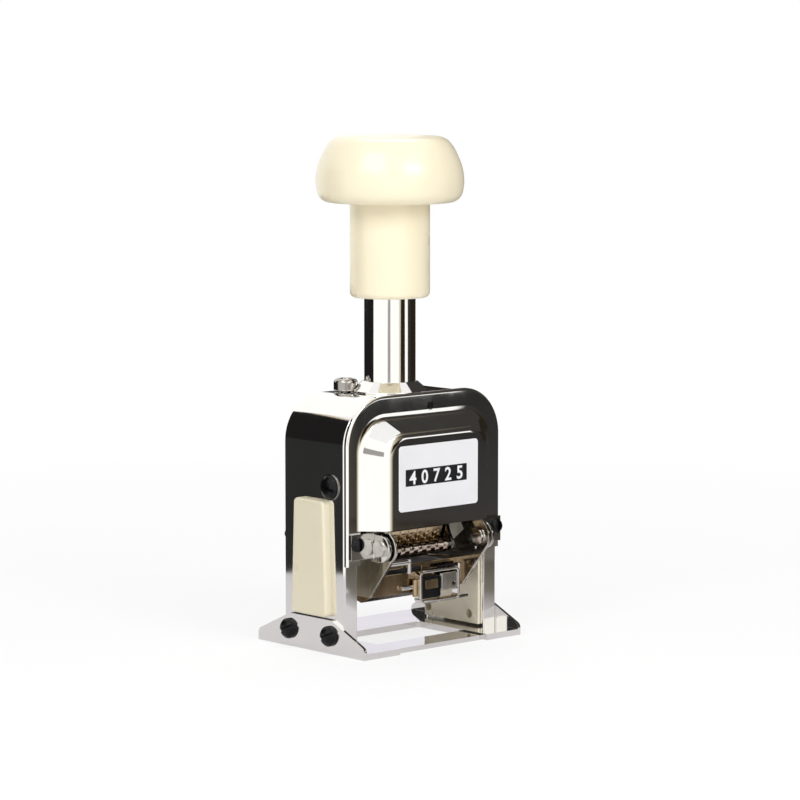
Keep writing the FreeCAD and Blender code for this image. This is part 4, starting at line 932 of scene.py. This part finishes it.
def soften(node, width):
    weld = node.modifiers.new("weld", "WELD")
    weld.merge_threshold = 1e-6
    bevel = node.modifiers.new("soft_edge", "BEVEL")
    bevel.width = width
    bevel.segments = 2 if width < 0.4 * MM else 4
    bevel.limit_method = "ANGLE"
    bevel.angle_limit = math.radians(40)
    bevel.use_clamp_overlap = True
    even_normals(node)


def dress_nodes():
    slot_of = {entry["node"]: entry["material_slot"] for entry in frame["record"]["subparts"]}
    for name, node in frame["nodes"].items():
        node.data.materials.clear()
        node.data.materials.append(NODE_FINISHES.get(name, SLOT_FINISHES[slot_of[name]]))
        if name in EDGE_SOFTNESS:
            soften(node, EDGE_SOFTNESS[name] * MM)


# Floor, reflected cards, lamps and world
CARD_DISTANCE = 175
CARD_STEP = 4
COAL = (0.013, 0.012, 0.012)
SLATE = (0.026, 0.026, 0.026)
CHARCOAL = (0.046, 0.043, 0.040)
ASH = (0.10, 0.09, 0.077)
STONE = (0.19, 0.175, 0.15)
UMBER = (0.022, 0.016, 0.011)
GREY = (0.37, 0.35, 0.34)
OLIVE = (0.20, 0.175, 0.12)
TAN = (0.62, 0.55, 0.42)
LILAC = (0.83, 0.81, 0.88)
DIM_LILAC = (0.60, 0.575, 0.59)
BRIGHT = (1.14, 1.13, 1.10)
LOW_BAND = 66
TUBE_BAND = 104


def seen_share(tree):
    """1 for rays from the camera, from gloss and through glass, else 0."""
    paths = tree.nodes.new("ShaderNodeLightPath")
    total = paths.outputs["Is Camera Ray"]
    for output in ("Is Glossy Ray", "Is Transmission Ray"):
        add = tree.nodes.new("ShaderNodeMath")
        add.operation = "MAXIMUM"
        tree.links.new(total, add.inputs[0])
        tree.links.new(paths.outputs[output], add.inputs[1])
        total = add.outputs[0]
    return total


def build_floor():
    material = bpy.data.materials.new("pale_floor")
    material.use_nodes = True
    tree = material.node_tree
    tree.nodes.clear()
    diffuse = tree.nodes.new("ShaderNodeBsdfDiffuse")
    diffuse.inputs["Color"].default_value = (0.93, 0.93, 0.93, 1)
    # The glow grows from the machine outwards, so that its shadow shows on a white ground
    place = tree.nodes.new("ShaderNodeTexCoord")
    reach = tree.nodes.new("ShaderNodeVectorMath")
    reach.operation = "LENGTH"
    tree.links.new(place.outputs["Object"], reach.inputs[0])
    share = tree.nodes.new("ShaderNodeMapRange")
    tree.links.new(reach.outputs["Value"], share.inputs["Value"])
    for name, number in (("From Min", 0.08), ("From Max", 0.5), ("To Min", 0.74), ("To Max", 1.0)):
        share.inputs[name].default_value = number
    product = tree.nodes.new("ShaderNodeMath")
    product.operation = "MULTIPLY"
    tree.links.new(seen_share(tree), product.inputs[0])
    tree.links.new(share.outputs["Result"], product.inputs[1])
    white = tree.nodes.new("ShaderNodeEmission")
    lilac = tree.nodes.new("ShaderNodeEmission")
    lilac.inputs["Color"].default_value = (*DIM_LILAC, 1)
    paths = tree.nodes.new("ShaderNodeLightPath")
    glow = tree.nodes.new("ShaderNodeMixShader")
    tree.links.new(paths.outputs["Is Glossy Ray"], glow.inputs[0])
    tree.links.new(white.outputs[0], glow.inputs[1])
    tree.links.new(lilac.outputs[0], glow.inputs[2])
    mix = tree.nodes.new("ShaderNodeMixShader")
    output = tree.nodes.new("ShaderNodeOutputMaterial")
    tree.links.new(product.outputs[0], mix.inputs[0])
    tree.links.new(diffuse.outputs[0], mix.inputs[1])
    tree.links.new(glow.outputs[0], mix.inputs[2])
    tree.links.new(mix.outputs[0], output.inputs[0])
    mesh = bmesh.new()
    bmesh.ops.create_grid(mesh, x_segments=1, y_segments=1, size=6)
    floor = make_piece("floor", mesh, material)
    floor.location.z = -0.02 * MM


def ring_place(angle, distance):
    """A place round the machine, at an angle in degrees counted from the camera to the right."""
    turn = math.radians(angle) - VIEW_TURN
    return math.sin(turn) * distance, -math.cos(turn) * distance


def reflected_card(name, lower, upper, stops, upper_stops=None):
    """A card that only the metal sees, between two (distance, height) edges in millimetres.

    The stops are (angle, colour) pairs along the lower edge, and upper_stops, at the same angles, along
    the upper one.
    """
    material = bpy.data.materials.new(name)
    material.use_nodes = True
    tree = material.node_tree
    tree.nodes.clear()
    glow = tree.nodes.new("ShaderNodeEmission")
    tone = tree.nodes.new("ShaderNodeVertexColor")
    tone.layer_name = "tone"
    output = tree.nodes.new("ShaderNodeOutputMaterial")
    tree.links.new(tone.outputs["Color"], glow.inputs["Color"])
    tree.links.new(glow.outputs[0], output.inputs[0])
    mesh = bmesh.new()
    columns, tones = [], []
    edges = [(lower, stops), (upper, upper_stops or stops)]
    for index in range(len(stops) - 1):
        start, end = stops[index][0], stops[index + 1][0]
        steps = max(1, math.ceil(abs(end - start) / CARD_STEP))
        for k in range(steps + 1):
            part = k / steps
            column = []
            for (distance, height), edge_stops in edges:
                x, y = ring_place(start + (end - start) * part, distance * MM)
                column.append(mesh.verts.new((x, y, height * MM)))
                first, second = edge_stops[index][1], edge_stops[index + 1][1]
                tones.append([a + (b - a) * part for a, b in zip(first, second)])
            columns.append(column)
    for one, other in zip(columns, columns[1:]):
        if (one[0].co - other[0].co).length > 1e-6:
            mesh.faces.new((one[0], other[0], other[1], one[1]))
    data = bpy.data.meshes.new(name)
    mesh.to_mesh(data)
    mesh.free()
    layer = data.color_attributes.new("tone", "FLOAT_COLOR", "POINT")
    for item, colour in zip(layer.data, tones):
        item.color = (*colour, 1)
    data.materials.append(material)
    card = bpy.data.objects.new(name, data)
    scene.collection.objects.link(card)
    for ray in ("camera", "diffuse", "shadow", "transmission"):
        setattr(card, f"visible_{ray}", False)


def standing_card(name, low, high, stops, upper_stops=None):
    reflected_card(name, (CARD_DISTANCE, low), (CARD_DISTANCE, high), stops, upper_stops)


def build_cards():
    standing_card("front_white_left", 3, 200, [(-76, BRIGHT), (-10, BRIGHT)])
    standing_card("front_white_right", LOW_BAND, 200, [(4, BRIGHT), (38, BRIGHT), (46, TAN), (49, TAN)])
    standing_card("front_white_low", 3, LOW_BAND, [(-10, BRIGHT), (38, BRIGHT), (55, TAN), (66, OLIVE)])
    standing_card("right_low", 2, 18, [(66, STONE), (73, STONE), (110, STONE), (165, CHARCOAL)],
                  [(66, OLIVE), (73, UMBER), (110, UMBER), (165, CHARCOAL)])
    standing_card("right_low_upper", 18, LOW_BAND,
                  [(66, OLIVE), (73, CHARCOAL), (110, CHARCOAL), (165, CHARCOAL)],
                  [(66, OLIVE), (73, SLATE), (110, SLATE), (165, CHARCOAL)])
    reflected_card("right_floor", (62, 0.3), (112, 0.8),
                   [(60, DIM_LILAC), (66, DIM_LILAC), (125, DIM_LILAC)],
                   [(60, DIM_LILAC), (66, STONE), (125, STONE)])
    reflected_card("right_floor_far", (112, 0.8), (CARD_DISTANCE, 2), [(66, STONE), (125, STONE)],
                   [(66, ASH), (125, ASH)])
    standing_card("camera_gap", LOW_BAND, TUBE_BAND, [(-10, BRIGHT), (-8, GREY), (2, GREY), (4, BRIGHT)])
    standing_card("camera_gap_top", TUBE_BAND, 200, [(-10, BRIGHT), (4, BRIGHT)])
    standing_card("right_stripe", LOW_BAND, TUBE_BAND,
                  [(49, UMBER), (69, UMBER), (70, BRIGHT), (85, BRIGHT), (86, CHARCOAL), (110, UMBER),
                   (180, UMBER)])
    standing_card("left_wall", 0.5, LOW_BAND, [(-76, TAN), (-77, SLATE), (-95, SLATE)])
    standing_card("left_wall_high", LOW_BAND, 203, [(-76, TAN), (-77, COAL), (-95, COAL), (-112, COAL)])
    standing_card("left_behind", 3, LOW_BAND, [(-95, SLATE), (-163, SLATE)])
    standing_card("left_wall_edge", 203, 211, [(-77, TAN), (-112, TAN)])
    standing_card("behind_left", LOW_BAND, TUBE_BAND, [(-112, COAL), (-180, COAL)])
    standing_card("behind_lilac_left", 0.5, 46, [(-163, LILAC), (-180, LILAC)])
    standing_card("behind_left_low", 46, LOW_BAND, [(-163, COAL), (-180, COAL)])
    standing_card("behind_lilac_right", 0.5, 62, [(165, LILAC), (180, LILAC)])
    standing_card("behind_white", TUBE_BAND, 330, [(-112, BRIGHT), (-180, BRIGHT)])
    standing_card("behind_dark_right", TUBE_BAND, 330,
                  [(152, CHARCOAL), (164, CHARCOAL), (176, DIM_LILAC)])
    standing_card("right_wall_high", TUBE_BAND, 215,
                  [(49, TAN), (62, OLIVE), (74, CHARCOAL), (152, CHARCOAL)])
    standing_card("right_high", 215, 330, [(62, TAN), (92, OLIVE), (118, CHARCOAL), (152, CHARCOAL)])


LAMP_DISTANCE = 0.9


def area_lamp(name, turn, rise, size, power):
    """A soft lamp. Its turn is counted from the camera to the right, its rise above the floor."""
    angle = math.radians(turn) - VIEW_TURN
    climb = math.radians(rise)
    direction = Vector((math.sin(angle) * math.cos(climb), -math.cos(angle) * math.cos(climb),
                        math.sin(climb)))
    data = bpy.data.lights.new(name, "AREA")
    data.shape = "RECTANGLE"
    data.size, data.size_y = size
    data.energy = power
    lamp = bpy.data.objects.new(name, data)
    scene.collection.objects.link(lamp)
    centre = Vector((0, 0, VIEW_HEIGHT))
    lamp.location = centre + direction * LAMP_DISTANCE
    lamp.rotation_euler = (-direction).to_track_quat("-Z", "Y").to_euler()


def build_light():
    area_lamp("key_lamp", -28, 38, (0.5, 0.4), 3.1)
    area_lamp("fill_lamp", 40, 30, (0.4, 0.4), 2.9)
    area_lamp("top_lamp", 180, 68, (0.5, 0.5), 2.0)
    world = bpy.data.worlds.new("studio")
    scene.world = world
    world.use_nodes = True
    tree = world.node_tree
    tree.nodes.clear()
    soft = tree.nodes.new("ShaderNodeBackground")
    soft.inputs["Color"].default_value = (1, 1, 1, 1)
    soft.inputs["Strength"].default_value = 0.45
    white = tree.nodes.new("ShaderNodeBackground")
    white.inputs["Color"].default_value = (1, 1, 1, 1)
    mix = tree.nodes.new("ShaderNodeMixShader")
    output = tree.nodes.new("ShaderNodeOutputWorld")
    tree.links.new(seen_share(tree), mix.inputs[0])
    tree.links.new(soft.outputs[0], mix.inputs[1])
    tree.links.new(white.outputs[0], mix.inputs[2])
    tree.links.new(mix.outputs[0], output.inputs[0])


place_camera()
dress_nodes()
build_outer_frame()
build_front_cover()
build_label()
build_handle()
build_main_spring()
build_collar()
build_side_heads()
build_wheel_digits()
build_tray_fittings()
build_dial_figures()
build_ink_pad()
build_floor()
build_cards()
build_light()
scene.view_settings.view_transform = "Standard"
